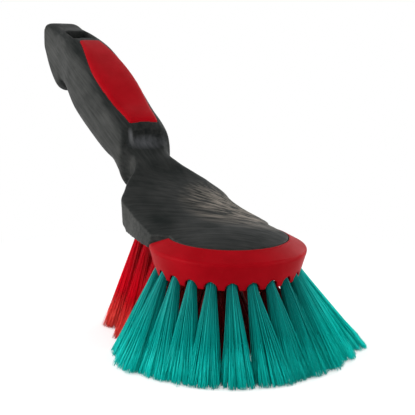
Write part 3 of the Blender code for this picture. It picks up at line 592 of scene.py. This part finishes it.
def move_vertices(obj, shift):
    """Move each vertex by shift(position, normal)."""
    mesh = obj.data
    moves = [shift(v.co, v.normal) for v in mesh.vertices]
    for vertex, move in zip(mesh.vertices, moves):
        vertex.co += move
    mesh.update()


# Bumper outlines
def seat_z(radius):
    slope = BUMPER_TOP_RISE / BUMPER_TOP_WIDTH
    return TOP_EDGE_Z - BUMPER_LIP - slope * (radius - TOP_EDGE_RADIUS)


def bumper_outline():
    wall_foot = BUMPER_RADIUS - BUMPER_TAPER
    wall_top = FLAT_Z + (SEAT_RADIUS - BLOCK_FLAT_RADIUS) * math.tan(DRILL_ANGLE)
    return filleted([
        (TOP_EDGE_RADIUS, TOP_EDGE_Z, 0.0),
        (BUMPER_RADIUS, RIDGE_Z, BUMPER_RIDGE_ROUND),
        (wall_foot, BRISTLE_HEIGHT, 0.0),
        (wall_foot - BUMPER_WALL, BRISTLE_HEIGHT, 0.0),
        (SEAT_RADIUS, wall_top, 0.0),
        (SEAT_RADIUS, seat_z(SEAT_RADIUS), 0.0),
        (TOP_EDGE_RADIUS, seat_z(TOP_EDGE_RADIUS), 0.0),
    ])


def rebate_outline():
    top = CROWN_Z + BUMPER_TOP_RISE
    outside = BUMPER_RADIUS + BUMPER_WALL
    inner = TOP_EDGE_RADIUS - SEAT_GAP
    wall = SEAT_RADIUS - SEAT_GAP
    return [
        (inner, top),
        (outside, top),
        (outside, BRISTLE_HEIGHT - BUMPER_WALL),
        (wall, BRISTLE_HEIGHT - BUMPER_WALL),
        (wall, seat_z(wall) - SEAT_GAP),
        (inner, seat_z(inner) - SEAT_GAP),
    ]


def rear_wedge(name, shift):
    """What lies behind the bumper's two ends, moved back by shift."""
    inner = Vector((math.sin(BUMPER_END_INNER), -math.cos(BUMPER_END_INNER))) * TOP_EDGE_RADIUS
    outer = Vector((math.sin(BUMPER_END_OUTER), -math.cos(BUMPER_END_OUTER))) * BUMPER_RADIUS
    along = (outer - inner).normalized()
    across = Vector((-along.y, along.x))
    start = inner - along * BUMPER_WALL + across * shift
    finish = outer + along * BUMPER_RADIUS + across * shift
    right = [tuple(start), tuple(finish)]
    outline = right + [(-x, y) for x, y in reversed(right)]
    return prism(name, outline, BRISTLE_HEIGHT - CUT_CLEAR, CROWN_Z + CUT_CLEAR)


# Places of the tufts
def underside_point(x, y):
    band = min(max(math.hypot(x, y), BLOCK_FLAT_RADIUS), BLOCK_RADIUS) - BLOCK_FLAT_RADIUS
    return Vector((x, y, FLAT_Z + band * math.tan(DRILL_ANGLE)))


def ring_point(radius, angle):
    return underside_point(radius * math.sin(angle), -radius * math.cos(angle))


def rear_point(share):
    half = SHOULDER_HALF_WIDTH - REAR_INSET - REAR_CORNER
    back = SHOULDER_Y - REAR_INSET
    turn = 0.5 * math.pi * REAR_CORNER
    row_end = REAR_END_GAP - BUMPER_RADIUS * math.cos(BUMPER_END_OUTER)
    along = abs(share) * (half + turn + back - REAR_CORNER - row_end)
    if along <= half:
        x, y = along, back
    elif along <= half + turn:
        angle = (along - half) / REAR_CORNER
        x = half + REAR_CORNER * math.sin(angle)
        y = back - REAR_CORNER * (1.0 - math.cos(angle))
    else:
        x, y = half + REAR_CORNER, back - REAR_CORNER - (along - half - turn)
    return underside_point(math.copysign(x, share), y)


green_bend = smooth_curve(GREEN_BEND)
green_sway = smooth_curve(GREEN_SWAY)
green_opening = smooth_curve(GREEN_OPENING)


def tuft_places():
    """Each tuft: name, root, heading, drill angle, travel of its tips, bare root, fan and lean."""
    places = []
    upright = Vector((0.0, 0.0, 0.0))
    for i in range(GREEN_TUFTS):
        angle = GREEN_TURN + GREEN_PITCH * (i + 0.5 - 0.5 * GREEN_TUFTS)
        degrees = math.degrees(angle)
        root = ring_point(GREEN_RING_RADIUS, angle)
        reach = between(FRONT_REACH, SIDE_REACH, math.sin(angle) ** 2) + green_bend(degrees) * MM
        bare = (root.z - BRISTLE_HEIGHT) / math.cos(DRILL_ANGLE)
        places.append((f"tuft_green_{i + 1:02d}", root, angle - 0.5 * math.pi, DRILL_ANGLE,
                       reach - GREEN_RING_RADIUS, bare, GREEN_FAN * green_opening(degrees),
                       GREEN_LEAN + SWAY_DIRECTION * green_sway(degrees) * MM))
    for i in range(REAR_TUFTS):
        root = rear_point(2.0 * i / (REAR_TUFTS - 1) - 1.0)
        heading = math.atan2(root.y + REAR_FAN_OFFSET, root.x)
        places.append((f"tuft_rear_{i + 1:02d}", root, heading, REAR_DRILL_ANGLE,
                       root.z * math.tan(REAR_DRILL_ANGLE), BARE_ROOT, REAR_FAN,
                       REAR_LEAN if i < REAR_LEANING else upright))
    for i in range(INNER_TUFTS):
        angle = math.tau * (i + 0.5) / INNER_TUFTS
        places.append((f"tuft_inner_{i + 1:02d}", ring_point(INNER_RING_RADIUS, angle),
                       angle - 0.5 * math.pi, 0.0, INNER_REACH - INNER_RING_RADIUS, BARE_ROOT,
                       INNER_FAN, INNER_LEAN))
    places.append(("tuft_centre", ring_point(0.0, 0.0), -0.5 * math.pi, 0.0, 0.0, BARE_ROOT,
                   INNER_FAN, INNER_LEAN))
    return places


def outward(drill):
    """The way out of a hole, in its tuft's own frame."""
    return Vector((math.sin(drill), 0.0, -math.cos(drill)))


def hole_cutters(name, radius, depth, outside, only_green):
    """Rods along the tufts' axes, in one mesh. outside gives each rod's length below the underside."""
    bm = bmesh.new()
    for tuft, root, heading, drill, _, bare, _, _ in tuft_places():
        if only_green and not tuft.startswith("tuft_green"):
            continue
        out = Matrix.Rotation(heading, 3, "Z") @ outward(drill)
        start, end = root - out * depth, root + out * outside(bare)
        turn = (end - start).to_track_quat("Z", "Y").to_matrix().to_4x4()
        bmesh.ops.create_cone(bm, cap_ends=True, segments=HOLE_SIDES, radius1=radius, radius2=radius,
                              depth=(end - start).length,
                              matrix=Matrix.Translation(0.5 * (start + end)) @ turn)
    return mesh_object(name, bm)


def grip_plan(gap):
    """Front, rear and half width along Y of the soft grip, widened by gap all round."""
    front = GUARD_Y + GRIP_START - gap
    rear = GUARD_Y + GRIP_START + GRIP_LENGTH + gap
    width = smooth_curve([(front, GRIP_FRONT_HALF + gap), (0.5 * (front + rear), GRIP_MIDDLE_HALF + gap),
                          (rear, GRIP_REAR_HALF + gap)])
    return front, rear, width


def grip_outline(gap):
    front, rear, width = grip_plan(gap)
    ys = [between(front, rear, i / GRIP_STEPS) for i in range(GRIP_STEPS + 1)]
    right = [(width(y), y, 0.0) for y in ys]
    right[0] = (*right[0][:2], GRIP_CORNER)
    right[-1] = (*right[-1][:2], GRIP_CORNER)
    return filleted(right + [(-x, y, r) for x, y, r in reversed(right)])


def rounded_rectangle(half, front, rear, corner):
    corners = ((half, front), (half, rear), (-half, rear), (-half, front))
    return filleted([(x, y, corner) for x, y in corners])


def slot_outline():
    rear = END_Y - SLOT_END_OFFSET
    return rounded_rectangle(0.5 * SLOT_WIDTH, rear - SLOT_LENGTH, rear, SLOT_CORNER)


def thumb_scoop():
    """A drum across the front of the guard, with rounded ends."""
    bm = bmesh.new()
    place = Matrix.Translation((0.0, GUARD_Y - THUMB_OFFSET, GUARD_Z - THUMB_DROP))
    bmesh.ops.create_cone(bm, cap_ends=True, segments=SCOOP_SIDES, radius1=THUMB_RADIUS,
                          radius2=THUMB_RADIUS, depth=2.0 * THUMB_HALF_WIDTH,
                          matrix=place @ Matrix.Rotation(math.radians(90.0), 4, "Y"))
    rims = [e for e in bm.edges if abs(e.verts[0].co.x - e.verts[1].co.x) < LEVEL_TOLERANCE]
    bmesh.ops.bevel(bm, geom=rims, offset=THUMB_CORNER, segments=SCOOP_CORNER_STEPS, affect="EDGES")
    return mesh_object("thumb_scoop", bm)


# Pieces
def make_body():
    body = loft_body("moulded_body")
    far = SHOULDER_Y + CUT_CLEAR
    underside = lathe("underside_cut", [(0.0, FLAT_Z), (BLOCK_FLAT_RADIUS, FLAT_Z), (BLOCK_RADIUS, RIM_Z),
                                        (far, RIM_Z), (far, FLAT_Z - CUT_CLEAR), (0.0, FLAT_Z - CUT_CLEAR)])
    combine(body, underside, "DIFFERENCE")
    rebate = lathe("rebate_cut", rebate_outline())
    combine(rebate, rear_wedge("rebate_end", SEAT_GAP), "DIFFERENCE")
    combine(body, rebate, "DIFFERENCE")
    pocket = prism("pocket_cut", grip_outline(-SEAT_GAP), BELOW_HANDLE_Z, ABOVE_HANDLE_Z)
    combine(pocket, loft_body("pocket_floor", -GRIP_DEPTH - SEAT_GAP, HANDLE_RISE), "DIFFERENCE")
    combine(body, pocket, "DIFFERENCE")
    combine(body, thumb_scoop(), "DIFFERENCE")
    combine(body, prism("slot_cut", slot_outline(), BELOW_HANDLE_Z, ABOVE_HANDLE_Z), "DIFFERENCE")
    holes = hole_cutters("tuft_holes", HOLE_RADIUS, HOLE_DEPTH, lambda bare: HOLE_RADIUS, False)
    combine(body, holes, "DIFFERENCE")
    soften(body, BODY_VOXEL, MOULDED_ROUNDS)
    return body


def make_bumper():
    bumper = lathe("bumper_ring", bumper_outline())
    combine(bumper, rear_wedge("bumper_end", 0.0), "DIFFERENCE")
    notches = hole_cutters("bumper_notches", TUFT_RADIUS + NOTCH_GAP, 0.0, lambda bare: 2.0 * bare, True)
    combine(bumper, notches, "DIFFERENCE")
    soften(bumper, RUBBER_VOXEL, MOULDED_ROUNDS)
    return bumper


def make_grip():
    grip = prism("soft_grip", grip_outline(0.0), BELOW_HANDLE_Z, ABOVE_HANDLE_Z)
    combine(grip, loft_body("grip_top", GRIP_PROUD), "INTERSECT")
    combine(grip, loft_body("grip_floor", -GRIP_DEPTH, HANDLE_RISE), "DIFFERENCE")
    soften(grip, RUBBER_VOXEL, GRIP_ROUNDS)
    front, rear, width = grip_plan(0.0)

    def roll_edge(co, normal):
        """The edge of the top sinks, most at the rim. Walls and underside stay."""
        inside = min(width(co.y) - abs(co.x), co.y - front, rear - co.y)
        share = min(max(1.0 - inside / GRIP_EDGE_ROUND, 0.0), 1.0)
        top = min(max(normal.z * 2.0, 0.0), 1.0)
        return Vector((0.0, 0.0, -GRIP_EDGE_DROP * share * share * top))

    move_vertices(grip, roll_edge)
    return grip


# Filaments
GOLDEN_ANGLE = math.pi * (3.0 - math.sqrt(5.0))
ASIDE = np.array([0.31, 0.83, 0.46])    # a direction that no filament has


def disc_places(count, rng, jitter):
    """Even places in a disc of radius 1, a little disturbed."""
    steps = np.arange(count) + 0.5
    radius = np.sqrt(steps / count)
    angle = steps * GOLDEN_ANGLE
    places = np.stack([radius * np.cos(angle), radius * np.sin(angle)], 1)
    return places + rng.normal(0.0, jitter, places.shape)


def tubes_mesh(name, groups):
    """One mesh of closed thin tubes. A group is (paths, radii), with as many points in each path."""
    all_verts, all_faces, start = [], [], 0
    angles = (np.arange(TUBE_SIDES) * math.tau / TUBE_SIDES)[None, :, None]
    for paths, radii in groups:
        count, rings = radii.shape
        along = paths[:, -1] - paths[:, 0]
        along /= np.linalg.norm(along, axis=1)[:, None]
        across = np.cross(along, ASIDE)
        across /= np.linalg.norm(across, axis=1)[:, None]
        third = np.cross(along, across)
        around = across[:, None] * np.cos(angles) + third[:, None] * np.sin(angles)
        verts = paths[:, :, None] + radii[:, :, None, None] * around[:, None]
        index = start + np.arange(count * rings * TUBE_SIDES).reshape(count, rings, TUBE_SIDES)
        turned = np.roll(index, -1, axis=2)
        quads = np.stack([index[:, :-1], turned[:, :-1], turned[:, 1:], index[:, 1:]], -1)
        all_verts.append(verts.reshape(-1, 3))
        all_faces.extend(quads.reshape(-1, 4).tolist())
        all_faces.extend(index[:, 0, ::-1].tolist())
        all_faces.extend(index[:, -1].tolist())
        start += count * rings * TUBE_SIDES
    mesh = bpy.data.meshes.new(name)
    mesh.from_pydata(np.concatenate(all_verts).tolist(), [], all_faces)
    mesh.shade_smooth()
    return mesh


def make_tuft(name, root, heading, drill, travel, bare, fan, lean, rng):
    """Filaments that leave the hole in a round bundle, open to a fan and split at their ends."""
    out, side = np.array(outward(drill)), np.array([0.0, 1.0, 0.0])
    up = np.cross(out, side)
    leaned = Matrix.Rotation(-heading, 3, "Z") @ lean
    places = disc_places(FILAMENTS, rng, FILAMENT_JITTER)
    deep, across = places[:, :1], places[:, 1:]
    offset = (up * deep + side * across) * FILAMENT_ROOT_SPAN
    clumps = disc_places(CLUMPS, rng, CLUMP_JITTER)
    nearest = np.argmin(np.linalg.norm(places[:, None] - clumps[None], axis=2), axis=1)
    tips = between(places, clumps[nearest], CLUMP_PULL) * TIP_SCALE
    far_axis = np.abs(tips).max(axis=1, keepdims=True) / np.linalg.norm(tips, axis=1, keepdims=True)
    tips /= far_axis ** SQUARENESS
    tips += rng.normal(0.0, TIP_JITTER, tips.shape)
    depth = INNER_DEPTH if drill == 0.0 else FAN_DEPTH
    trim = np.abs(rng.normal(0.0, CLUMP_SCATTER, CLUMPS))[nearest] * CLUMP_TRIM
    trim += rng.random(FILAMENTS) * FILAMENT_TRIM
    tip = np.stack([travel + leaned.x + tips[:, 0] * depth, leaned.y + tips[:, 1] * fan, trim - root.z], 1)
    stray = rng.choice(FILAMENTS, STRAYS, replace=False)
    tip[stray, :2] += rng.normal(0.0, STRAY_SPREAD, (STRAYS, 2))
    start = offset - out * FILAMENT_START
    mouth = offset + out * bare
    length = np.linalg.norm(tip - mouth, axis=1)[:, None]
    straight = between(mouth, tip, STEER_SHARE)
    steer = straight + rng.normal(0.0, STEER_JITTER, tip.shape)
    steer += (out * STEER_SHARE * length - (straight - mouth)) * STEER_PULL

    def point(t):
        return mouth * (1 - t) ** 2 + steer * 2 * t * (1 - t) + tip * t ** 2

    split = 1.0 - FLAG_LENGTH * rng.uniform(*FLAG_LENGTH_SHARES, (FILAMENTS, 1)) / length
    shaft = [start] + [point(split * i / (FILAMENT_RINGS - 2)) for i in range(FILAMENT_RINGS - 1)]
    shaft = np.stack(shaft, 1)
    shaft_radii = np.full((FILAMENTS, FILAMENT_RINGS), FILAMENT_RADIUS)
    groups = [(shaft, shaft_radii)]
    for flag in range(FLAGS):
        angle = math.tau * (flag + rng.random((FILAMENTS, 1))) / FLAGS
        apart = np.concatenate([np.cos(angle), np.sin(angle), np.zeros_like(angle)], 1) * FLAG_SPREAD
        base = point(split - FLAG_OVERLAP) + apart * FLAG_ROOT_SHARE
        middle = point(between(split, 1.0, 0.5)) + apart * FLAG_MIDDLE_SHARE
        end = tip + apart * rng.uniform(*FLAG_TIP_SHARES, (FILAMENTS, 1))
        end[:, 2] += rng.random(FILAMENTS) * FLAG_TRIM
        radii = np.tile([FLAG_ROOT_RADIUS, between(FLAG_ROOT_RADIUS, FLAG_TIP_RADIUS, 0.5), FLAG_TIP_RADIUS],
                        (FILAMENTS, 1))
        groups.append((np.stack([base, middle, end], 1), radii))
    tuft = new_object(name.replace("tuft", "filaments"), tubes_mesh(name, groups))
    tuft.data.transform(Matrix.Translation(root) @ Matrix.Rotation(heading, 4, "Z"))
    return tuft


# Materials
def add_node(tree, kind, inputs=None, **settings):
    node = tree.nodes.new("ShaderNode" + kind)
    for key, value in settings.items():
        setattr(node, key, value)
    for key, value in (inputs or {}).items():
        socket = node.inputs[key]
        if isinstance(value, bpy.types.NodeSocket):
            tree.links.new(value, socket)
        else:
            socket.default_value = value
    return node


def new_material(name, **uniform):
    """A node material and its shader, with the values that are the same all over it."""
    mat = bpy.data.materials.new(name)
    mat.use_nodes = True
    shader = mat.node_tree.nodes["Principled BSDF"]
    for key, value in uniform.items():
        shader.inputs[key.replace("_", " ")].default_value = value
    return mat, mat.node_tree, shader


def noise(tree, scale, detail=3.0, stretch=(1.0, 1.0, 1.0), roughness=0.55, about="Z_AXIS", turn=0.0):
    """Noise in the object's own space, turned about an axis, with features of about 1 / scale metres."""
    place = add_node(tree, "TexCoord").outputs["Object"]
    place = add_node(tree, "VectorRotate", {"Vector": place, "Angle": turn}, rotation_type=about).outputs[0]
    mapped = add_node(tree, "Mapping", {"Vector": place, "Scale": stretch})
    texture = add_node(tree, "TexNoise", {"Vector": mapped.outputs[0], "Scale": scale, "Detail": detail,
                                          "Roughness": roughness})
    return texture.outputs["Fac"]


def position_y(tree):
    return add_node(tree, "SeparateXYZ", {0: add_node(tree, "TexCoord").outputs["Object"]}).outputs["Y"]


def between_values(tree, share, a, b):
    return add_node(tree, "Mix", {0: share, 2: a, 3: b}).outputs[0]


def spread(tree, value, low, high, to_low=0.0, to_high=1.0):
    """value from low to high, mapped to the other range."""
    node = add_node(tree, "MapRange", {"Value": value, "From Min": low, "From Max": high,
                                       "To Min": to_low, "To Max": to_high})
    return node.outputs[0]


def maths(tree, operation, a, b):
    return add_node(tree, "Math", {0: a, 1: b}, operation=operation).outputs[0]


def blend_colors(tree, share, a, b, mode="MIX"):
    node = tree.nodes.new("ShaderNodeMix")
    node.data_type = "RGBA"
    node.blend_type = mode
    for socket, value in zip((node.inputs[0], node.inputs[6], node.inputs[7]), (share, a, b)):
        if isinstance(value, bpy.types.NodeSocket):
            tree.links.new(value, socket)
        else:
            socket.default_value = value
    return node.outputs[2]


def bump(tree, height, distance, strength, normal=None):
    inputs = {"Height": height, "Distance": distance, "Strength": strength}
    if normal is not None:
        inputs["Normal"] = normal
    return add_node(tree, "Bump", inputs).outputs[0]


def plug(tree, shader, **sockets):
    for key, value in sockets.items():
        tree.links.new(value, shader.inputs[key.replace("_", " ")])


def place_in(tree, centre, reach):
    """1 at a place in the object's own space, falling to 0 at reach from it along each axis."""
    place = add_node(tree, "TexCoord").outputs["Object"]
    shifted = add_node(tree, "VectorMath", {0: place, 1: centre}, operation="SUBTRACT").outputs[0]
    shares = add_node(tree, "VectorMath", {0: shifted, 1: reach}, operation="DIVIDE").outputs[0]
    distance = add_node(tree, "VectorMath", {0: shares}, operation="LENGTH").outputs["Value"]
    return spread(tree, distance, 1.0, 0.25)


def black_plastic():
    mat, tree, shader = new_material("black_plastic", Specular_IOR_Level=0.05)
    grain = noise(tree, 1500.0, 4.0)
    along = noise(tree, STREAK_SCALE, 3.0, STREAK_STRETCH, about="X_AXIS", turn=-HANDLE_SLOPE)
    across = noise(tree, STREAK_SCALE, 3.0, STREAK_STRETCH, turn=HEAD_STREAK_TURN)
    streaks = between_values(tree, spread(tree, position_y(tree), *HEAD_STREAKS_Y), along, across)
    clouds = noise(tree, 55.0, 3.0, (1.0, 0.5, 1.0))
    tone = maths(tree, "MULTIPLY_ADD", streaks, 0.5)
    tree.links.new(maths(tree, "MULTIPLY", clouds, 0.5), tone.node.inputs[2])
    shade = spread(tree, tone, 0.35, 0.65)
    facing = add_node(tree, "SeparateXYZ", {0: add_node(tree, "TexCoord").outputs["Normal"]})
    # Faces turned to +X or -X are painted paler, a painted sheen as of lamps at the sides
    flank_sheen = spread(tree, maths(tree, "ABSOLUTE", facing.outputs["X"], 0.0), 0.78, 0.98, 0.0, 0.95)
    color = blend_colors(tree, flank_sheen, blend_colors(tree, shade, PLASTIC_DARK, PLASTIC_LIGHT),
                         blend_colors(tree, shade, FLANK_SHEEN_DARK, FLANK_SHEEN_LIGHT))
    # Streaky scuffs and a painted warm sheen on the upward faces of the head's top
    scuffs_and_sheen = maths(tree, "MULTIPLY", spread(tree, across, 0.4, 0.72),
                   spread(tree, facing.outputs["Z"], 0.15, 0.5))
    scuffs_and_sheen = maths(tree, "MULTIPLY", place_in(tree, SCUFF_AND_SHEEN_CENTRE, SCUFF_AND_SHEEN_REACH), scuffs_and_sheen)
    color = blend_colors(tree, scuffs_and_sheen, color, SCUFF_AND_SHEEN_COLOR)
    # A painted highlight band in the thumb recess, streaky with the plastic's tone
    thumb_highlight = maths(tree, "MULTIPLY", place_in(tree, THUMB_HIGHLIGHT_CENTRE, THUMB_HIGHLIGHT_REACH),
                 spread(tree, tone, 0.35, 0.6, 0.3, 1.0))
    color = blend_colors(tree, thumb_highlight, color, THUMB_HIGHLIGHT_COLOR)
    # A painted highlight on the left rim of the thumb recess
    color = blend_colors(tree, place_in(tree, RIM_HIGHLIGHT_CENTRE, RIM_HIGHLIGHT_REACH), color, RIM_HIGHLIGHT_COLOR)
    # Convex edges are painted paler: a painted edge highlight
    edge = add_node(tree, "NewGeometry").outputs["Pointiness"]
    color = blend_colors(tree, spread(tree, edge, 0.515, 0.6, 0.0, 0.5), color, PLASTIC_EDGE_HIGHLIGHT)
    normal = bump(tree, grain, 0.12 * MM, 0.55)
    normal = bump(tree, streaks, 0.15 * MM, 0.25, normal)
    plug(tree, shader, Base_Color=color, Roughness=spread(tree, tone, 0.3, 0.7, 0.6, 0.45), Normal=normal)
    return mat


def red_rubber():
    mat, tree, shader = new_material("red_rubber", Specular_IOR_Level=0.03)
    grain = noise(tree, 1900.0, 3.0)
    clouds = noise(tree, 70.0, 3.0)
    streaks = noise(tree, 700.0, 2.0, (1.0, 0.03, 1.0))
    color = blend_colors(tree, spread(tree, clouds, 0.35, 0.65), RUBBER_DARK, RUBBER_LIGHT)
    color = blend_colors(tree, spread(tree, streaks, 0.68, 0.82, 0.0, 0.18), color, RUBBER_STREAK)
    # Convex edges are painted paler and pinker: a painted edge highlight
    edge = add_node(tree, "NewGeometry").outputs["Pointiness"]
    color = blend_colors(tree, spread(tree, edge, 0.53, 0.64, 0.0, 0.3), color, RUBBER_EDGE_HIGHLIGHT)
    normal = bump(tree, grain, 0.06 * MM, 0.4)
    plug(tree, shader, Base_Color=color, Roughness=spread(tree, clouds, 0.3, 0.7, 0.5, 0.42), Normal=normal)
    return mat


def scaled_color(color, gain, lift=0.0):
    return tuple(min(1.0, gain * c + lift) for c in color[:3]) + (1.0,)


def bristle(name, shaded_root_color, middle_color, tip_color, bottom_color):
    """Filaments: painted shade at the roots, pale where they are split, painted light towards +X, darker
    along the lowest millimetres, each a little unlike the next.
    """
    mat, tree, shader = new_material(name, Specular_IOR_Level=0.09)
    place = add_node(tree, "SeparateXYZ", {0: add_node(tree, "TexCoord").outputs["Object"]})
    height = place.outputs["Z"]
    single = add_node(tree, "NewGeometry").outputs["Random Per Island"]
    # Painted shade darkens the roots, where they lie under the head
    color = blend_colors(tree, spread(tree, height, *ROOT_SHADE_Z), shaded_root_color, middle_color)
    color = blend_colors(tree, spread(tree, height, *TIP_Z), color, tip_color)
    # Painted light: filaments towards +X are painted paler, as if lit from that side
    lit_side = spread(tree, place.outputs["X"], *LIT_SIDE_X, 0.0, 0.8)
    color = blend_colors(tree, lit_side, color, scaled_color(tip_color, 1.25))
    # Darker along the lowest few millimetres
    color = blend_colors(tree, spread(tree, height, *BOTTOM_Z, 0.0, 0.6), color, bottom_color)
    dark = spread(tree, single, 0.0, 0.4, 0.45, 0.0)
    color = blend_colors(tree, dark, color, scaled_color(middle_color, 0.66))
    pale = spread(tree, single, 0.8, 1.0, 0.0, 0.4)
    color = blend_colors(tree, pale, color, scaled_color(tip_color, 1.2, 0.01))
    rough = spread(tree, noise(tree, 900.0, 2.0), 0.3, 0.7, 0.4, 0.55)
    normal = bump(tree, noise(tree, 1600.0, 2.0, (1.0, 1.0, 0.2)), 0.04 * MM, 0.3)
    plug(tree, shader, Base_Color=color, Roughness=rough, Normal=normal)
    return mat


def anchor_steel():
    mat, tree, shader = new_material("anchor_steel", Metallic=1.0)
    drawn = noise(tree, 2600.0, 3.0, (0.1, 1.0, 1.0))
    color = blend_colors(tree, spread(tree, drawn, 0.3, 0.7), STEEL_DARK, STEEL_LIGHT)
    plug(tree, shader, Base_Color=color, Roughness=spread(tree, drawn, 0.3, 0.7, 0.45, 0.28),
         Normal=bump(tree, drawn, 0.02 * MM, 0.4))
    return mat


def dress(obj, mat, node):
    """Finish a piece, seat it on the body and let it stand for its node."""
    obj.data.materials.clear()
    obj.data.materials.append(mat)
    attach(obj, BODY)
    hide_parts(node)


# Studio
def make_camera():
    data = bpy.data.cameras.new("view")
    data.sensor_width = SENSOR_MM
    data.lens = CAMERA_FOCAL_PX / PICTURE_PX * SENSOR_MM
    data.clip_start = 0.01
    facing = CAMERA_AZIMUTH + CAMERA_YAW
    right = Vector((math.cos(facing), math.sin(facing), 0.0))
    level = Vector((-math.sin(facing), math.cos(facing), 0.0))
    forward = level * math.cos(CAMERA_PITCH) - Vector((0.0, 0.0, math.sin(CAMERA_PITCH)))
    up = right.cross(forward)
    turned_right = right * math.cos(CAMERA_ROLL) + up * math.sin(CAMERA_ROLL)
    turned_up = up * math.cos(CAMERA_ROLL) - right * math.sin(CAMERA_ROLL)
    camera = bpy.data.objects.new("view", data)
    bpy.context.scene.collection.objects.link(camera)
    matrix = Matrix((turned_right, turned_up, -forward)).transposed().to_4x4()
    matrix.translation = (math.sin(CAMERA_AZIMUTH) * CAMERA_DISTANCE,
                          -math.cos(CAMERA_AZIMUTH) * CAMERA_DISTANCE, CAMERA_HEIGHT)
    camera.matrix_world = matrix
    bpy.context.scene.camera = camera


def make_lamp(name, place, size, power):
    data = bpy.data.lights.new(name, "AREA")
    data.shape = "DISK"
    data.size = size
    data.energy = power
    lamp = bpy.data.objects.new(name, data)
    bpy.context.scene.collection.objects.link(lamp)
    lamp.location = place
    lamp.rotation_euler = (Vector(LAMP_TARGET) - Vector(place)).to_track_quat("-Z", "Y").to_euler()


def seen_directly(tree):
    """1 where the camera, a reflection or a view through sees the surface, and 0 for its light."""
    path = add_node(tree, "LightPath")
    seen = maths(tree, "MAXIMUM", path.outputs["Is Camera Ray"], path.outputs["Is Glossy Ray"])
    return maths(tree, "MAXIMUM", seen, path.outputs["Is Transmission Ray"])


def make_studio():
    bm = bmesh.new()
    bmesh.ops.create_grid(bm, x_segments=1, y_segments=1, size=FLOOR_HALF)
    floor = mesh_object("floor", bm)
    floor.location = (0.0, 0.0, -FLOOR_DROP)
    mat, tree, shader = new_material("floor", Roughness=0.9, Specular_IOR_Level=0.0)
    shader.inputs["Base Color"].default_value = FLOOR_GREY
    shader.inputs["Emission Color"].default_value = WHITE
    seen = seen_directly(tree)
    plug(tree, shader, Emission_Strength=maths(tree, "MULTIPLY", seen, FLOOR_GLOW))
    place = add_node(tree, "TexCoord").outputs["Object"]
    distance = add_node(tree, "VectorMath", {0: place}, operation="LENGTH").outputs["Value"]
    far = maths(tree, "MULTIPLY", seen, spread(tree, distance, SHADOW_REACH, 2.0 * SHADOW_REACH))
    white = add_node(tree, "Emission", {"Color": WHITE, "Strength": 1.0}).outputs[0]
    mixed = add_node(tree, "MixShader", {0: far, 1: shader.outputs[0], 2: white}).outputs[0]
    tree.links.new(mixed, tree.nodes["Material Output"].inputs["Surface"])
    floor.data.materials.append(mat)
    world = bpy.data.worlds.new("studio")
    bpy.context.scene.world = world
    world.use_nodes = True
    tree = world.node_tree
    background = tree.nodes["Background"]
    background.inputs["Color"].default_value = WHITE
    plug(tree, background, Strength=spread(tree, seen_directly(tree), 0.0, 1.0, SKY_LIGHT, 1.0))
    for lamp in LAMPS:
        make_lamp(*lamp)


make_camera()
make_studio()

plastic = black_plastic()
rubber = red_rubber()
green = bristle("green_bristle", *GREEN_COLORS)
red = bristle("red_bristle", *RED_COLORS)
# Painted shade: a darker copy of the red filaments for the inner and centre tufts
shaded_red = bristle("shaded_red_bristle", *SHADED_RED_COLORS)
steel = anchor_steel()

dress(make_body(), plastic, "handle_body")
dress(make_bumper(), rubber, "rim_bumper")
dress(make_grip(), rubber, "grip_insert")
rng = np.random.default_rng(SEED)
for name, *layout in tuft_places():
    kind = name.split("_")[1]
    mat = {"green": green, "rear": red}.get(kind, shaded_red)
    dress(make_tuft(name, *layout, rng), mat, name)
for name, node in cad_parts.items():
    if name.startswith("anchor"):
        node.data.materials.clear()
        node.data.materials.append(steel)

bpy.context.scene.view_settings.view_transform = "Standard"
